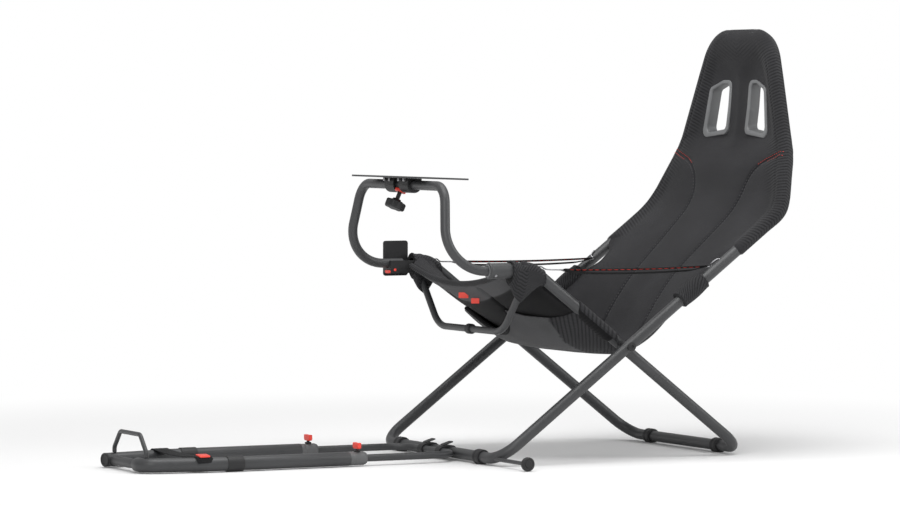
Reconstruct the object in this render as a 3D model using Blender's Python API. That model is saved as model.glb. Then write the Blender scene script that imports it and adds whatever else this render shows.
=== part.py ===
"""Folding sling seat for racing games: an X-frame seat with a swing-over wheel bar and a pedal rail.

Run with: blender --background --python part.py
Metres, +Z up. The driver faces -Y, and the driver's left is +X. Sizes are worked out about the seat's
own middle plane and its main pivot line, and the root empty then centres the whole on the floor.
"""

import math

import bmesh
import bpy
import numpy as np
from mathutils import Matrix, Vector

# Fits
FIT = 0.0003
SLIP = 0.0008

# Main tubes and the two crossed frames
TUBE_D = 0.0254
BACK_FRAME_HALF = 0.298
FRAME_GAP = 0.0108
PIVOT_Z = 0.264
BACK_ANGLE = math.radians(36.8)
SEAT_ANGLE = math.radians(37.9)
CORNER_R = 0.055
FRONT_FOOT_X = 0.2025
REAR_FOOT_X = 0.159
FOOT_LENGTH = 0.028
FOOT_WALL = 0.0045
FOOT_FLAT = 0.0015

# Back hoop
SHOULDER_RUN = 0.5055
SHOULDER_R = 0.09
HOOP_LEAD = 0.012
NECK_HALF = 0.236
NECK_RISE = 0.139
NECK_BACK = 0.050
NECK_R = 0.25
CROWN_HALF = 0.126
CROWN_RISE = 0.274
CROWN_BACK = 0.024
CROWN_R = 0.09

# Seat frame knees, seat brace and wheel bar seat
KNEE_Z = 0.441
KNEE_R = 0.060
KNEE_REACH = 0.300
BRACE_D = 0.016
BRACE_TOP_Y = -0.252
BRACE_SHOULDER_DROP = 0.030
BRACE_HALF = 0.163
BRACE_Y = -0.254
BRACE_Z = 0.296
BRACE_R = 0.034
COUPLER_D = 0.024
COUPLER_LENGTH = 0.020

# Main pivots
PIVOT_PIN_D = 0.008
PIVOT_HEAD_D = 0.021
PIVOT_HEAD_T = 0.005
PIVOT_TAIL_D = 0.015
PIVOT_TAIL_T = 0.004
SPACER_D = 0.020

# Wheel bar, its socket and its cradle
BAR_D = 0.022
BAR_FRONT_Y = -0.4515
BAR_TOP_Y = -0.4285
BAR_TOP_Z = 0.632
BAR_TOP_HALF = 0.213
BAR_LOWER_R = 0.090
BAR_UPPER_R = 0.050
SOCKET_D = 0.036
SOCKET_REAR = 0.275
SOCKET_FRONT = 0.345
CRADLE_WIDTH = 0.038
CRADLE_FRONT = 0.340
CRADLE_REAR = 0.276
CRADLE_FLOOR = 0.012
CRADLE_RISE = 0.006
CRADLE_PLATE_T = 0.004
CRADLE_PLATE_TOP = 0.052
CRADLE_PLATE_DROP = 0.031
LATCH_LENGTH = 0.022
LATCH_WIDTH = 0.007
LATCH_T = 0.004
LATCH_DROP = 0.020

# Wheel plate, its clamp and the clamp knob
PLATE_WIDTH = 0.280
PLATE_DEPTH = 0.170
PLATE_SET_BACK = 0.017
PLATE_T = 0.004
PLATE_TILT = math.radians(-2.2)
PLATE_SLOT_LENGTH = 0.040
PLATE_SLOT_WIDTH = 0.008
PLATE_SLOT_HALF = 0.070
PLATE_CORNER_R = 0.012
SADDLE_WIDTH = 0.046
SADDLE_SPACING = 0.074
SADDLE_WALL = 0.007
SADDLE_LIFT = 0.004
KNOB_TILT = math.radians(24.0)
KNOB_STEM_D = 0.010
KNOB_STEM_LENGTH = 0.034
KNOB_D = 0.040
KNOB_T = 0.014
RING_D = 0.026
RING_T = 0.007

# Pedal rail
RAIL_D = 0.0315
RAIL_BORE = 0.0180
RAIL_HALF = 0.130
RAIL_FRONT_HALF = 0.095
RAIL_KINK_Y = -0.945
RAIL_FRONT_Y = -1.115
RAIL_REAR_Y = -0.630
COLLAR_D = 0.0305
COLLAR_LENGTH = 0.042
CROSS_RAIL_D = 0.022
SLIDER_D = 0.0165
SLIDER_FRONT_Y = -0.790
SLIDER_CORNER_R = 0.055
HOOP_D = 0.010
HOOP_BACK = 0.009
HOOP_LEAN = 0.035
HOOP_RISE = 0.050
HOOP_R = 0.018
HOOP_STUB = 0.012
RAIL_CORNER_R = 0.030
RAIL_STUB = 0.040
RAIL_KINK_R = 0.12
RAIL_LAP = 0.004
END_CAP_T = 0.004
BAND_LENGTH = 0.040
BAND_WALL = 0.0015
HOOK_HALF = 0.045
HOOK_WIDTH = 0.022
HOOK_WALL = 0.003
HEEL_STRAP_Y = -0.985
HEEL_STRAP_WIDTH = 0.038
HEEL_STRAP_T = 0.0025
HEEL_STRAP_SAG = 0.006
TAB_SIZE = 0.026
TAB_T = 0.003
SCREW_D = 0.006
SCREW_RISE = 0.009
WING_LENGTH = 0.027
WING_WIDTH = 0.009
WING_RISE = 0.013
WING_R = 0.003

# Side stabiliser
STABILISER_D = 0.009
STABILISER_REACH = 0.436
STABILISER_SINK = 0.150
STABILISER_BORE_DEPTH = 0.310
STABILISER_FOOT_D = 0.0315
STABILISER_FOOT_T = 0.012

# Sling, padding, loops and straps
SLING_T = 0.014
SLING_CROWN = 0.006
SLING_EASE = 0.0035
LOOP_EASE = 0.0022
SEAM_DEPTH = 0.004
SEAM_WIDTH = 0.012
SEAM_SHARE = 0.56
SEAT_FRONT_DIP = 0.030
SEAT_FRONT_Y = -0.300
SEAT_MID_Z = 0.335
SEAT_LOW_Z = 0.268
SEAT_REAR_Y = 0.062
SEAT_REAR_IN = 0.045
SEAT_REAR_DROP = 0.004
SEAT_BAY_Y = -0.150
SEAT_BAY_DEPTH = 0.030
SEAT_BAY_WIDTH = 0.030
SLING_LOW_Z = 0.244
HIP_GAP = 0.004
HIP_Y = 0.200
HIP_Z = 0.276
WING_START_RUN = 0.385
WING_SAG = 0.055
HEAD_SAG = 0.004
EDGE_EASE = 0.0012
BACK_BAY_RUN = 0.300
BACK_BAY_DEPTH = 0.045
BACK_BAY_WIDTH = 0.045
LOOP_RUN = 0.201
LOOP_LENGTH = 0.045
LOOP_WALL = 0.003
POCKET_WALL = 0.004
POCKET_RUN = 0.050
STRAP_WIDTH = 0.022
STRAP_T = 0.0025
STRAP_SAG = 0.004
STRAP_FRONT_Y = -0.195
STRAP_REAR_Y = 0.235
VENT_INNER_X = 0.043
VENT_OUTER_X = 0.142
VENT_TAPER = 0.022
VENT_TOP = 0.030
VENT_TOP_Z = 0.866
VENT_SHOULDER_Z = 0.832
VENT_LOW_Z = 0.752
VENT_R = 0.010
VENT_OPEN = 0.78
VENT_SEAT = 1.006
VENT_DEPTH = 0.036

# Facets
TUBE_SIDES = 12
ARC_STEPS = 5
FOOT_SIDES = 20
SLING_COLS = 20
SEAT_ROWS = 18
LOWER_ROWS = 12
BACK_ROWS = 22

# Sizes that follow from the ones above
TUBE_R = TUBE_D / 2
SEAT_FRAME_HALF = BACK_FRAME_HALF - TUBE_D - FRAME_GAP
FOOT_R = TUBE_R + FIT + FOOT_WALL
BASE_Z = FOOT_R - FOOT_FLAT
RAIL_Z = RAIL_D / 2 + FIT + BAND_WALL
LEFT, RIGHT = 1, -1
SIDE_NAME = {LEFT: "left", RIGHT: "right"}


def back_line(run):
    """Point (y, z) on the back frame's straight tube, run metres up from the pivot."""
    return run * math.cos(BACK_ANGLE), PIVOT_Z + run * math.sin(BACK_ANGLE)


def seat_line(run):
    """Point (y, z) on the seat frame's straight tube, run metres up and forward from the pivot."""
    return -run * math.cos(SEAT_ANGLE), PIVOT_Z + run * math.sin(SEAT_ANGLE)


FRONT_BASE_Y = back_line(-(PIVOT_Z - BASE_Z) / math.sin(BACK_ANGLE))[0]
REAR_BASE_Y = seat_line(-(PIVOT_Z - BASE_Z) / math.sin(SEAT_ANGLE))[0]
KNEE_RUN = (KNEE_Z - PIVOT_Z) / math.sin(SEAT_ANGLE)
KNEE_Y = seat_line(KNEE_RUN)[0]
SHOULDER_Y, SHOULDER_Z = back_line(SHOULDER_RUN)
NECK_Y = SHOULDER_Y + NECK_BACK
NECK_Z = SHOULDER_Z + NECK_RISE
CROWN_Y = NECK_Y + CROWN_BACK
CROWN_Z = NECK_Z + CROWN_RISE
SLIDER_REAR_Y = FRONT_BASE_Y - TUBE_R - SLIDER_D / 2 - FIT

# Placing: the design's origin is the floor under the pivot line; the root empty centres the outline
OUTER_LEFT = STABILISER_REACH
OUTER_RIGHT = -(BACK_FRAME_HALF + TUBE_R + FIT + PIVOT_HEAD_T)
RAIL_SLANT = math.atan2(RAIL_HALF - RAIL_FRONT_HALF, RAIL_KINK_Y - RAIL_FRONT_Y)
RAIL_END_Y = RAIL_FRONT_Y - CROSS_RAIL_D / 2 - RAIL_LAP
OUTER_FRONT = RAIL_END_Y - (FIT + END_CAP_T) * math.cos(RAIL_SLANT) - RAIL_D / 2 * math.sin(RAIL_SLANT)
OUTER_REAR = CROWN_Y + TUBE_R
ROOT_SHIFT = Vector((-(OUTER_LEFT + OUTER_RIGHT) / 2, -(OUTER_FRONT + OUTER_REAR) / 2, 0))

# Joint axes in the design's own coordinates
BAR_AXIS = Vector((SEAT_FRAME_HALF, -SOCKET_FRONT, KNEE_Z))
PLATE_AXIS = Vector((0, BAR_TOP_Y, BAR_TOP_Z))
AXES = {
    "back_frame": (Vector((0, 0, 0)), None),
    "seat_frame": (Vector((0, 0, PIVOT_Z)), "back_frame"),
    "wheel_bar": (BAR_AXIS, "seat_frame"),
    "wheel_plate": (PLATE_AXIS, "wheel_bar"),
    "clamp_knob": (PLATE_AXIS, "wheel_plate"),
    "bar_latch": (Vector((-SEAT_FRAME_HALF, -CRADLE_FRONT, KNEE_Z - LATCH_DROP)), "seat_frame"),
    "pedal_slider": (Vector((0, FRONT_BASE_Y, BASE_Z)), "back_frame"),
    "pedal_rail": (Vector((0, RAIL_REAR_Y, RAIL_Z)), "pedal_slider"),
    "left_rail_screw": (Vector((RAIL_HALF, RAIL_REAR_Y + COLLAR_LENGTH / 2, RAIL_Z)), "pedal_rail"),
    "right_rail_screw": (Vector((-RAIL_HALF, RAIL_REAR_Y + COLLAR_LENGTH / 2, RAIL_Z)), "pedal_rail"),
    "stabiliser": (Vector((BACK_FRAME_HALF, FRONT_BASE_Y, BASE_Z)), "back_frame"),
}

PAINT = {
    "tube_paint": ((0.060, 0.061, 0.064), 0.42, 0.35),
    "light_collar": ((0.270, 0.275, 0.280), 0.45, 0.0),
    "black_plastic": ((0.030, 0.030, 0.032), 0.50, 0.0),
    "red_plastic": ((0.780, 0.065, 0.045), 0.40, 0.0),
    "bolt_steel": ((0.180, 0.180, 0.185), 0.35, 0.9),
    "seat_fabric": ((0.040, 0.040, 0.043), 0.92, 0.0),
    "side_mesh": ((0.032, 0.032, 0.034), 0.88, 0.0),
    "foam_cover": ((0.042, 0.042, 0.044), 0.85, 0.0),
    "webbing": ((0.022, 0.022, 0.023), 0.80, 0.0),
    "plate_paint": ((0.070, 0.071, 0.074), 0.50, 0.3),
}


def clear_scene():
    for item in list(bpy.data.objects):
        bpy.data.objects.remove(item, do_unlink=True)


def new_collection(name):
    collection = bpy.data.collections.new(name)
    bpy.context.scene.collection.children.link(collection)
    return collection


def make_material(name):
    colour, roughness, metallic = PAINT[name]
    material = bpy.data.materials.new(name)
    material.use_nodes = True
    shader = material.node_tree.nodes["Principled BSDF"]
    shader.inputs["Base Color"].default_value = (*colour, 1)
    shader.inputs["Roughness"].default_value = roughness
    shader.inputs["Metallic"].default_value = metallic
    material.diffuse_color = (*colour, 1)
    return material


def make_axes():
    """One empty on each joint's axis, parented in the order in which the bodies carry each other."""
    root = bpy.data.objects.new("seat_root", None)
    root.location = ROOT_SHIFT
    PARTS.objects.link(root)
    empties = {}
    for body, (place, carrier) in AXES.items():
        empty = bpy.data.objects.new(body + "_axis", None)
        empty.parent = empties[carrier] if carrier else root
        empty.location = place - (AXES[carrier][0] if carrier else Vector())
        PARTS.objects.link(empty)
        empties[body] = empty
    return empties


def add_part(name, mesh, body, paint):
    """Puts a mesh, drawn in the design's coordinates, under its body's axis."""
    mesh.transform(Matrix.Translation(-AXES[body][0]))
    mesh.materials.clear()
    mesh.materials.append(PAINTS[paint])
    part = bpy.data.objects.new(name, mesh)
    part.parent = EMPTIES[body]
    PARTS.objects.link(part)
    return part


def add_cutter(name, mesh, body):
    mesh.transform(Matrix.Translation(-AXES[body][0]))
    cutter = bpy.data.objects.new(name, mesh)
    cutter.parent = EMPTIES[body]
    cutter.hide_render = True
    cutter.display_type = "WIRE"
    CUTTERS.objects.link(cutter)
    return cutter


def cut(part, *cutters):
    for cutter in cutters:
        step = part.modifiers.new("cut", "BOOLEAN")
        step.operation = "DIFFERENCE"
        step.solver = "EXACT"
        step.object = cutter


def join(part, addition):
    step = part.modifiers.new("join", "BOOLEAN")
    step.operation = "UNION"
    step.solver = "EXACT"
    step.object = addition


def finish_mesh(shape, name):
    """Welds, turns the faces outward and hands back mesh data from a bmesh."""
    bmesh.ops.remove_doubles(shape, verts=shape.verts, dist=0.00002)
    bmesh.ops.recalc_face_normals(shape, faces=shape.faces)
    mesh = bpy.data.meshes.new(name)
    shape.to_mesh(mesh)
    shape.free()
    return mesh


def rounded_path(points, radii):
    """Polyline whose inner corners are arcs: radii[i] rounds points[i + 1]."""
    corners = [Vector(p) for p in points]
    path = [corners[0]]
    for before, corner, after, radius in zip(corners, corners[1:], corners[2:], radii):
        back, ahead = (before - corner).normalized(), (after - corner).normalized()
        half_turn = (math.pi - back.angle(ahead)) / 2
        reach = radius * math.tan(half_turn)
        centre = corner + (back + ahead).normalized() * radius / math.cos(half_turn)
        start = corner + back * reach - centre
        axis = start.cross(corner + ahead * reach - centre).normalized()
        for step in range(ARC_STEPS + 1):
            turn = Matrix.Rotation(2 * half_turn * step / ARC_STEPS, 3, axis)
            path.append(centre + turn @ start)
    path.append(corners[-1])
    return [path[0]] + [b for a, b in zip(path, path[1:]) if (b - a).length > FIT / 2]


def tube_mesh(name, path, diameter, caps=True, sides=TUBE_SIDES):
    """Round tube along a path, as a bevelled curve turned into a mesh."""
    curve = bpy.data.curves.new(name, "CURVE")
    curve.dimensions = "3D"
    curve.bevel_depth = diameter / 2
    curve.bevel_resolution = sides // 2 - 2
    curve.use_fill_caps = caps
    spline = curve.splines.new("POLY")
    spline.points.add(len(path) - 1)
    for point, place in zip(spline.points, path):
        point.co = (*place, 1)
    holder = bpy.data.objects.new(name, curve)
    shape = bmesh.new()
    shape.from_mesh(bpy.data.meshes.new_from_object(holder))
    bpy.data.objects.remove(holder, do_unlink=True)
    return finish_mesh(shape, name)


def sleeve_mesh(name, path, bore, outer):
    """Open-ended sleeve along a path: the skin of a bore that clears its round pin, thickened outward."""
    skin = bore / math.cos(math.pi / TUBE_SIDES)
    inner = tube_mesh(name, path, skin, caps=False)
    shape = bmesh.new()
    shape.from_mesh(inner)
    bmesh.ops.recalc_face_normals(shape, faces=shape.faces)
    bmesh.ops.solidify(shape, geom=shape.faces[:], thickness=-(outer - skin) / 2)
    return finish_mesh(shape, name)


def ring_prism_mesh(name, outer, inner, low, high, place):
    """Ring between two outlines with the same number of points, extruded from low to high."""
    shape = bmesh.new()
    rings = [[[shape.verts.new(place(a, b, height)) for a, b in ring] for ring in (outer, inner)]
             for height in (low, high)]
    count = len(outer)
    for i in range(count):
        j = (i + 1) % count
        for k in (0, 1):
            shape.faces.new((rings[0][k][i], rings[0][k][j], rings[1][k][j], rings[1][k][i]))
            shape.faces.new((rings[k][0][i], rings[k][0][j], rings[k][1][j], rings[k][1][i]))
    return finish_mesh(shape, name)


def box_mesh(name, low, high):
    low, high = Vector(low), Vector(high)
    shape = bmesh.new()
    bmesh.ops.create_cube(shape, size=1, matrix=Matrix.Translation((low + high) / 2)
                          @ Matrix.Diagonal((*(high - low), 1)))
    return finish_mesh(shape, name)


def cylinder_mesh(name, start, end, diameter, sides=24):
    start, end = Vector(start), Vector(end)
    along = end - start
    turn = along.to_track_quat("Z", "Y").to_matrix().to_4x4()
    shape = bmesh.new()
    bmesh.ops.create_cone(shape, cap_ends=True, segments=sides, radius1=diameter / 2, radius2=diameter / 2,
                          depth=along.length, matrix=Matrix.Translation((start + end) / 2) @ turn)
    return finish_mesh(shape, name)


def prism_mesh(name, outline, low, high, place):
    """Flat outline, extruded from low to high, with place turning (a, b, height) into a point."""
    shape = bmesh.new()
    ends = [[shape.verts.new(place(a, b, height)) for a, b in outline] for height in (low, high)]
    shape.faces.new(ends[0])
    shape.faces.new(ends[1])
    count = len(outline)
    for i in range(count):
        shape.faces.new((ends[0][i], ends[0][(i + 1) % count], ends[1][(i + 1) % count], ends[1][i]))
    return finish_mesh(shape, name)


def arc(centre, radius, start, end, steps):
    """Points of an arc in a plane, angles in degrees."""
    angles = np.radians(np.linspace(start, end, steps + 1))
    return [(centre[0] + radius * math.cos(t), centre[1] + radius * math.sin(t)) for t in angles]


def rounded_outline(corners, radius, steps=3):
    """Flat closed outline with each corner rounded."""
    ring = [Vector(c) for c in corners]
    outline = []
    for i, corner in enumerate(ring):
        back = (ring[i - 1] - corner).normalized()
        ahead = (ring[(i + 1) % len(ring)] - corner).normalized()
        half = back.angle(ahead) / 2
        centre = corner + (back + ahead).normalized() * radius / math.sin(half)
        start = corner + back * radius / math.tan(half) - centre
        sweep = math.pi - 2 * half
        sign = 1 if back.x * ahead.y - back.y * ahead.x < 0 else -1
        for k in range(steps + 1):
            outline.append(tuple(centre + Matrix.Rotation(sign * sweep * k / steps, 2) @ start))
    return outline


def sheet_mesh(name, top, bottom):
    """Closed padded sheet between two grids of points with the same rows and columns."""
    rows, cols, _ = top.shape
    verts = np.concatenate([top.reshape(-1, 3), bottom.reshape(-1, 3)])
    index = np.arange(rows * cols).reshape(rows, cols)
    quads = np.stack([index[:-1, :-1], index[:-1, 1:], index[1:, 1:], index[1:, :-1]], -1).reshape(-1, 4)
    under = quads[:, ::-1] + rows * cols
    rim = np.concatenate([index[0, :-1], index[:-1, -1], index[-1, :0:-1], index[:0:-1, 0]])
    after = np.roll(rim, -1)
    edge = np.stack([after, rim, rim + rows * cols, after + rows * cols], -1)
    shape = bmesh.new()
    corners = [shape.verts.new(v) for v in verts]
    for face in np.concatenate([quads, under, edge]):
        shape.faces.new([corners[i] for i in face])
    return finish_mesh(shape, name)


def padded_sheet(name, middle, edge, half, sag_power=2.0, seam=None):
    """Hanging padded cloth: each row hangs from edge (y, z) at x = +-half down to middle (y, z).

    Across, v runs from -1 to 1 and a point is middle + (edge - middle) |v| ** sag_power. The upper face
    stands SLING_CROWN proud in mid-row, sinks SEAM_DEPTH along the two seams and thins to the sides.
    """
    v = np.linspace(-1, 1, SLING_COLS + 1)
    rise = np.abs(v) ** sag_power
    rows = len(middle)
    grid = np.empty((rows, len(v), 3))
    grid[:, :, 0] = half[:, None] * v
    grid[:, :, 1:] = middle[:, None, :] + (edge - middle)[:, None, :] * rise[None, :, None]
    along = np.gradient(grid, axis=0)
    across = np.gradient(grid, axis=1)
    normal = np.cross(across, along)
    normal /= np.linalg.norm(normal, axis=2, keepdims=True)
    seam_at = np.full(rows, SEAM_SHARE) if seam is None else seam
    groove = np.exp(-(((np.abs(v)[None, :] - seam_at[:, None]) * half[:, None] / SEAM_WIDTH) ** 2))
    pull = 1 - v[None, :] ** 6
    u = np.linspace(-1, 1, rows)
    ends = 1 - u[:, None] ** 8
    top = SLING_T / 2 * (0.35 + 0.65 * pull * ends) + SLING_CROWN * (1 - v[None, :] ** 2) * ends - SEAM_DEPTH * groove * ends
    bottom = SLING_T / 2 * (0.35 + 0.65 * pull * ends)
    return sheet_mesh(name, grid + normal * top[:, :, None], grid - normal * bottom[:, :, None])


def smooth_rows(points, count):
    """Catmull-Rom curve through the points, as count rows evenly spaced along it."""
    knots = np.array(points, float)
    padded = np.concatenate([[2 * knots[0] - knots[1]], knots, [2 * knots[-1] - knots[-2]]])
    fine = []
    for p0, p1, p2, p3 in zip(padded, padded[1:], padded[2:], padded[3:]):
        t = np.linspace(0, 1, 17)[:-1, None]
        fine.append(0.5 * (2 * p1 + (p2 - p0) * t + (2 * p0 - 5 * p1 + 4 * p2 - p3) * t ** 2
                           + (3 * p1 - p0 - 3 * p2 + p3) * t ** 3))
    line = np.concatenate(fine + [knots[-1:]])
    length = np.concatenate([[0], np.cumsum(np.linalg.norm(np.diff(line, axis=0), axis=1))])
    spots = np.linspace(0, length[-1], count)
    return np.stack([np.interp(spots, length, line[:, k]) for k in range(line.shape[1])], 1)


def build_back_frame():
    """Front cross tube, two long legs with their feet, and the hoop of the backrest."""
    inner_end = FRONT_FOOT_X + FIT / 2
    cross = add_part("front_cross_tube", tube_mesh("front_cross_tube", [
        (-(FRONT_FOOT_X - FIT / 2), FRONT_BASE_Y, BASE_Z), (FRONT_FOOT_X - FIT / 2, FRONT_BASE_Y, BASE_Z)], TUBE_D),
        "back_frame", "tube_paint")
    end_y, end_z = back_line(SHOULDER_RUN - shoulder_reach() - FIT)
    for side in (LEFT, RIGHT):
        name = SIDE_NAME[side] + "_front_leg"
        path = rounded_path([(side * inner_end, FRONT_BASE_Y, BASE_Z),
                             (side * BACK_FRAME_HALF, FRONT_BASE_Y, BASE_Z),
                             (side * BACK_FRAME_HALF, end_y, end_z)], [CORNER_R])
        leg = add_part(name, tube_mesh(name, path, TUBE_D), "back_frame", "tube_paint")
        cut(leg, pivot_bore(side, "back_frame", name))
        if side == LEFT:
            bore = cylinder_mesh("stabiliser_bore", (BACK_FRAME_HALF - STABILISER_BORE_DEPTH, FRONT_BASE_Y, BASE_Z),
                                 (STABILISER_REACH, FRONT_BASE_Y, BASE_Z), STABILISER_D + 2 * SLIP)
            bore = add_cutter("stabiliser_bore", bore, "back_frame")
            cut(leg, bore)
            cut(cross, bore)
        add_foot(SIDE_NAME[side] + "_front_foot", side * FRONT_FOOT_X, FRONT_BASE_Y, "back_frame")
    hoop_part = add_part("back_hoop", tube_mesh("back_hoop", hoop_path(), TUBE_D), "back_frame", "tube_paint")
    return hoop_part


def shoulder_reach():
    """Length of straight tube below the shoulder that belongs to the hoop: its bend and a short lead."""
    below = Vector((0, -math.cos(BACK_ANGLE), -math.sin(BACK_ANGLE)))
    above = Vector((NECK_HALF - BACK_FRAME_HALF, NECK_BACK, NECK_RISE))
    return SHOULDER_R * math.tan((math.pi - below.angle(above)) / 2) + HOOP_LEAD


def hoop_path():
    """Centre line of the back hoop, from the left shoulder over the crown to the right one."""
    start_y, start_z = back_line(SHOULDER_RUN - shoulder_reach())
    left = [(BACK_FRAME_HALF, start_y, start_z), (BACK_FRAME_HALF, SHOULDER_Y, SHOULDER_Z),
            (NECK_HALF, NECK_Y, NECK_Z), (CROWN_HALF, CROWN_Y, CROWN_Z)]
    right = [(-x, y, z) for x, y, z in reversed(left)]
    radii = [SHOULDER_R, NECK_R, CROWN_R]
    return rounded_path(left + right, radii + radii[::-1])


def pivot_bore(side, body, name):
    reach = BACK_FRAME_HALF + TUBE_D
    mesh = cylinder_mesh(name + "_bore", (side * (SEAT_FRAME_HALF - TUBE_D), 0, PIVOT_Z), (side * reach, 0, PIVOT_Z),
                         PIVOT_PIN_D + 2 * FIT, sides=16)
    return add_cutter(name + "_bore", mesh, body)


def add_foot(name, x, y, body):
    """Clip-on foot: a sleeve round the tube with a flat sole."""
    sole = math.degrees(math.acos(BASE_Z / FOOT_R))
    bore = TUBE_R + FIT
    outer = arc((0, 0), FOOT_R, -90 + sole, 270 - sole, FOOT_SIDES - 1)
    step = 180 / FOOT_SIDES
    inner = arc((0, 0), bore / math.cos(math.radians(step)), -90 + step, 270 - step, FOOT_SIDES - 1)
    mesh = ring_prism_mesh(name, outer, inner, x - FOOT_LENGTH / 2, x + FOOT_LENGTH / 2,
                           lambda a, b, h: (h, y + a, BASE_Z + b))
    add_part(name, mesh, body, "black_plastic")


def build_seat_frame():
    """Rear cross tube, two legs that bend level at the knees, feet and the dropped brace."""
    add_part("rear_cross_tube", tube_mesh("rear_cross_tube", [
        (-(REAR_FOOT_X - FIT / 2), REAR_BASE_Y, BASE_Z), (REAR_FOOT_X - FIT / 2, REAR_BASE_Y, BASE_Z)], TUBE_D),
        "seat_frame", "tube_paint")
    for side in (LEFT, RIGHT):
        name = SIDE_NAME[side] + "_rear_leg"
        reach = KNEE_REACH if side == LEFT else CRADLE_REAR - FIT
        path = rounded_path([(side * (REAR_FOOT_X + FIT / 2), REAR_BASE_Y, BASE_Z),
                             (side * SEAT_FRAME_HALF, REAR_BASE_Y, BASE_Z),
                             (side * SEAT_FRAME_HALF, KNEE_Y, KNEE_Z),
                             (side * SEAT_FRAME_HALF, -reach, KNEE_Z)], [CORNER_R, KNEE_R])
        leg = add_part(name, tube_mesh(name, path, TUBE_D), "seat_frame", "tube_paint")
        cut(leg, pivot_bore(side, "seat_frame", name))
        add_foot(SIDE_NAME[side] + "_rear_foot", side * REAR_FOOT_X, REAR_BASE_Y, "seat_frame")
        name = SIDE_NAME[side] + "_seat_brace"
        top_z = KNEE_Z - TUBE_R - FIT
        path = rounded_path([(side * SEAT_FRAME_HALF, BRACE_TOP_Y, top_z),
                             (side * SEAT_FRAME_HALF, BRACE_TOP_Y, KNEE_Z - BRACE_SHOULDER_DROP),
                             (side * BRACE_HALF, BRACE_Y, BRACE_Z),
                             (side * FIT / 2, BRACE_Y, BRACE_Z)], [BRACE_R / 2, BRACE_R])
        add_part(name, tube_mesh(name, path, BRACE_D), "seat_frame", "tube_paint")
    coupler = [(-COUPLER_LENGTH / 2, BRACE_Y, BRACE_Z), (COUPLER_LENGTH / 2, BRACE_Y, BRACE_Z)]
    add_part("brace_coupler", sleeve_mesh("brace_coupler", coupler, BRACE_D + 2 * FIT, COUPLER_D),
             "seat_frame", "black_plastic")


def build_pivots():
    """Headed pin and spacer at each crossing of the two frames; the pin's inner end is peened over."""
    for side in (LEFT, RIGHT):
        label = SIDE_NAME[side]
        outer = BACK_FRAME_HALF + TUBE_R + FIT
        inner = SEAT_FRAME_HALF - TUBE_R - FIT
        profile = [(outer + PIVOT_HEAD_T, 0.0), (outer + PIVOT_HEAD_T, PIVOT_HEAD_D / 2), (outer, PIVOT_HEAD_D / 2),
                   (outer, PIVOT_PIN_D / 2), (inner, PIVOT_PIN_D / 2), (inner, PIVOT_TAIL_D / 2),
                   (inner - PIVOT_TAIL_T, PIVOT_TAIL_D / 2), (inner - PIVOT_TAIL_T, 0.0)]
        pin = turned_mesh(label + "_pivot_pin", profile, Vector((0, 0, PIVOT_Z)), Vector((side, 0, 0)))
        add_part(label + "_pivot_pin", pin, "back_frame", "bolt_steel")
        path = [(side * (SEAT_FRAME_HALF + TUBE_R + FIT), 0, PIVOT_Z), (side * (BACK_FRAME_HALF - TUBE_R - FIT), 0, PIVOT_Z)]
        spacer = sleeve_mesh(label + "_pivot_spacer", path, PIVOT_PIN_D + 2 * FIT, SPACER_D)
        add_part(label + "_pivot_spacer", spacer, "seat_frame", "black_plastic")


def build_bar_seats():
    """Socket and bush for the wheel bar's left end, and the open cradle with its plate for the right end."""
    path = [(SEAT_FRAME_HALF, -SOCKET_REAR, KNEE_Z), (SEAT_FRAME_HALF, -SOCKET_FRONT, KNEE_Z)]
    add_part("bar_socket", sleeve_mesh("bar_socket", path, TUBE_D + 2 * FIT, SOCKET_D),
             "seat_frame", "light_collar")
    path = [(SEAT_FRAME_HALF, -KNEE_REACH - 2 * FIT, KNEE_Z), (SEAT_FRAME_HALF, -SOCKET_FRONT, KNEE_Z)]
    add_part("bar_bush", sleeve_mesh("bar_bush", path, BAR_D + 2 * FIT, TUBE_D),
             "seat_frame", "black_plastic")
    channel = BAR_D / 2 + SLIP
    half = CRADLE_WIDTH / 2
    top = CRADLE_RISE
    outline = [(-half, -channel - CRADLE_FLOOR), (half, -channel - CRADLE_FLOOR), (half, top), (channel, top)]
    outline += arc((0, 0), channel, 0, -180, 10) + [(-channel, top), (-half, top)]

    def across(a, b, height):
        return (-SEAT_FRAME_HALF + a, height, KNEE_Z + b)

    mesh = prism_mesh("bar_cradle", outline, -CRADLE_FRONT, -CRADLE_REAR, across)
    add_part("bar_cradle", mesh, "seat_frame", "black_plastic")
    outer = -SEAT_FRAME_HALF - half - FIT
    plate = rounded_outline([(-CRADLE_FRONT, -CRADLE_PLATE_DROP), (-CRADLE_REAR, -CRADLE_PLATE_DROP),
                             (-CRADLE_REAR, CRADLE_PLATE_TOP), (-CRADLE_FRONT, CRADLE_PLATE_TOP)], 0.006)
    mesh = prism_mesh("cradle_plate", plate, outer - CRADLE_PLATE_T, outer, lambda a, b, h: (h, a, KNEE_Z + b))
    add_part("cradle_plate", mesh, "seat_frame", "black_plastic")


def build_latch():
    """Small red thumb latch on a pin in the cradle's front face."""
    x, y, z = AXES["bar_latch"][0]
    front = y - FIT
    radius = LATCH_WIDTH / 2
    outline = arc((0, 0), radius, 0, -180, 8) + arc((0, LATCH_LENGTH - LATCH_WIDTH), radius, 180, 0, 8)
    mesh = prism_mesh("bar_latch", outline, front - LATCH_T, front,
                      lambda a, b, h: (x + b, h, z + a))
    add_part("bar_latch", mesh, "bar_latch", "red_plastic")


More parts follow.
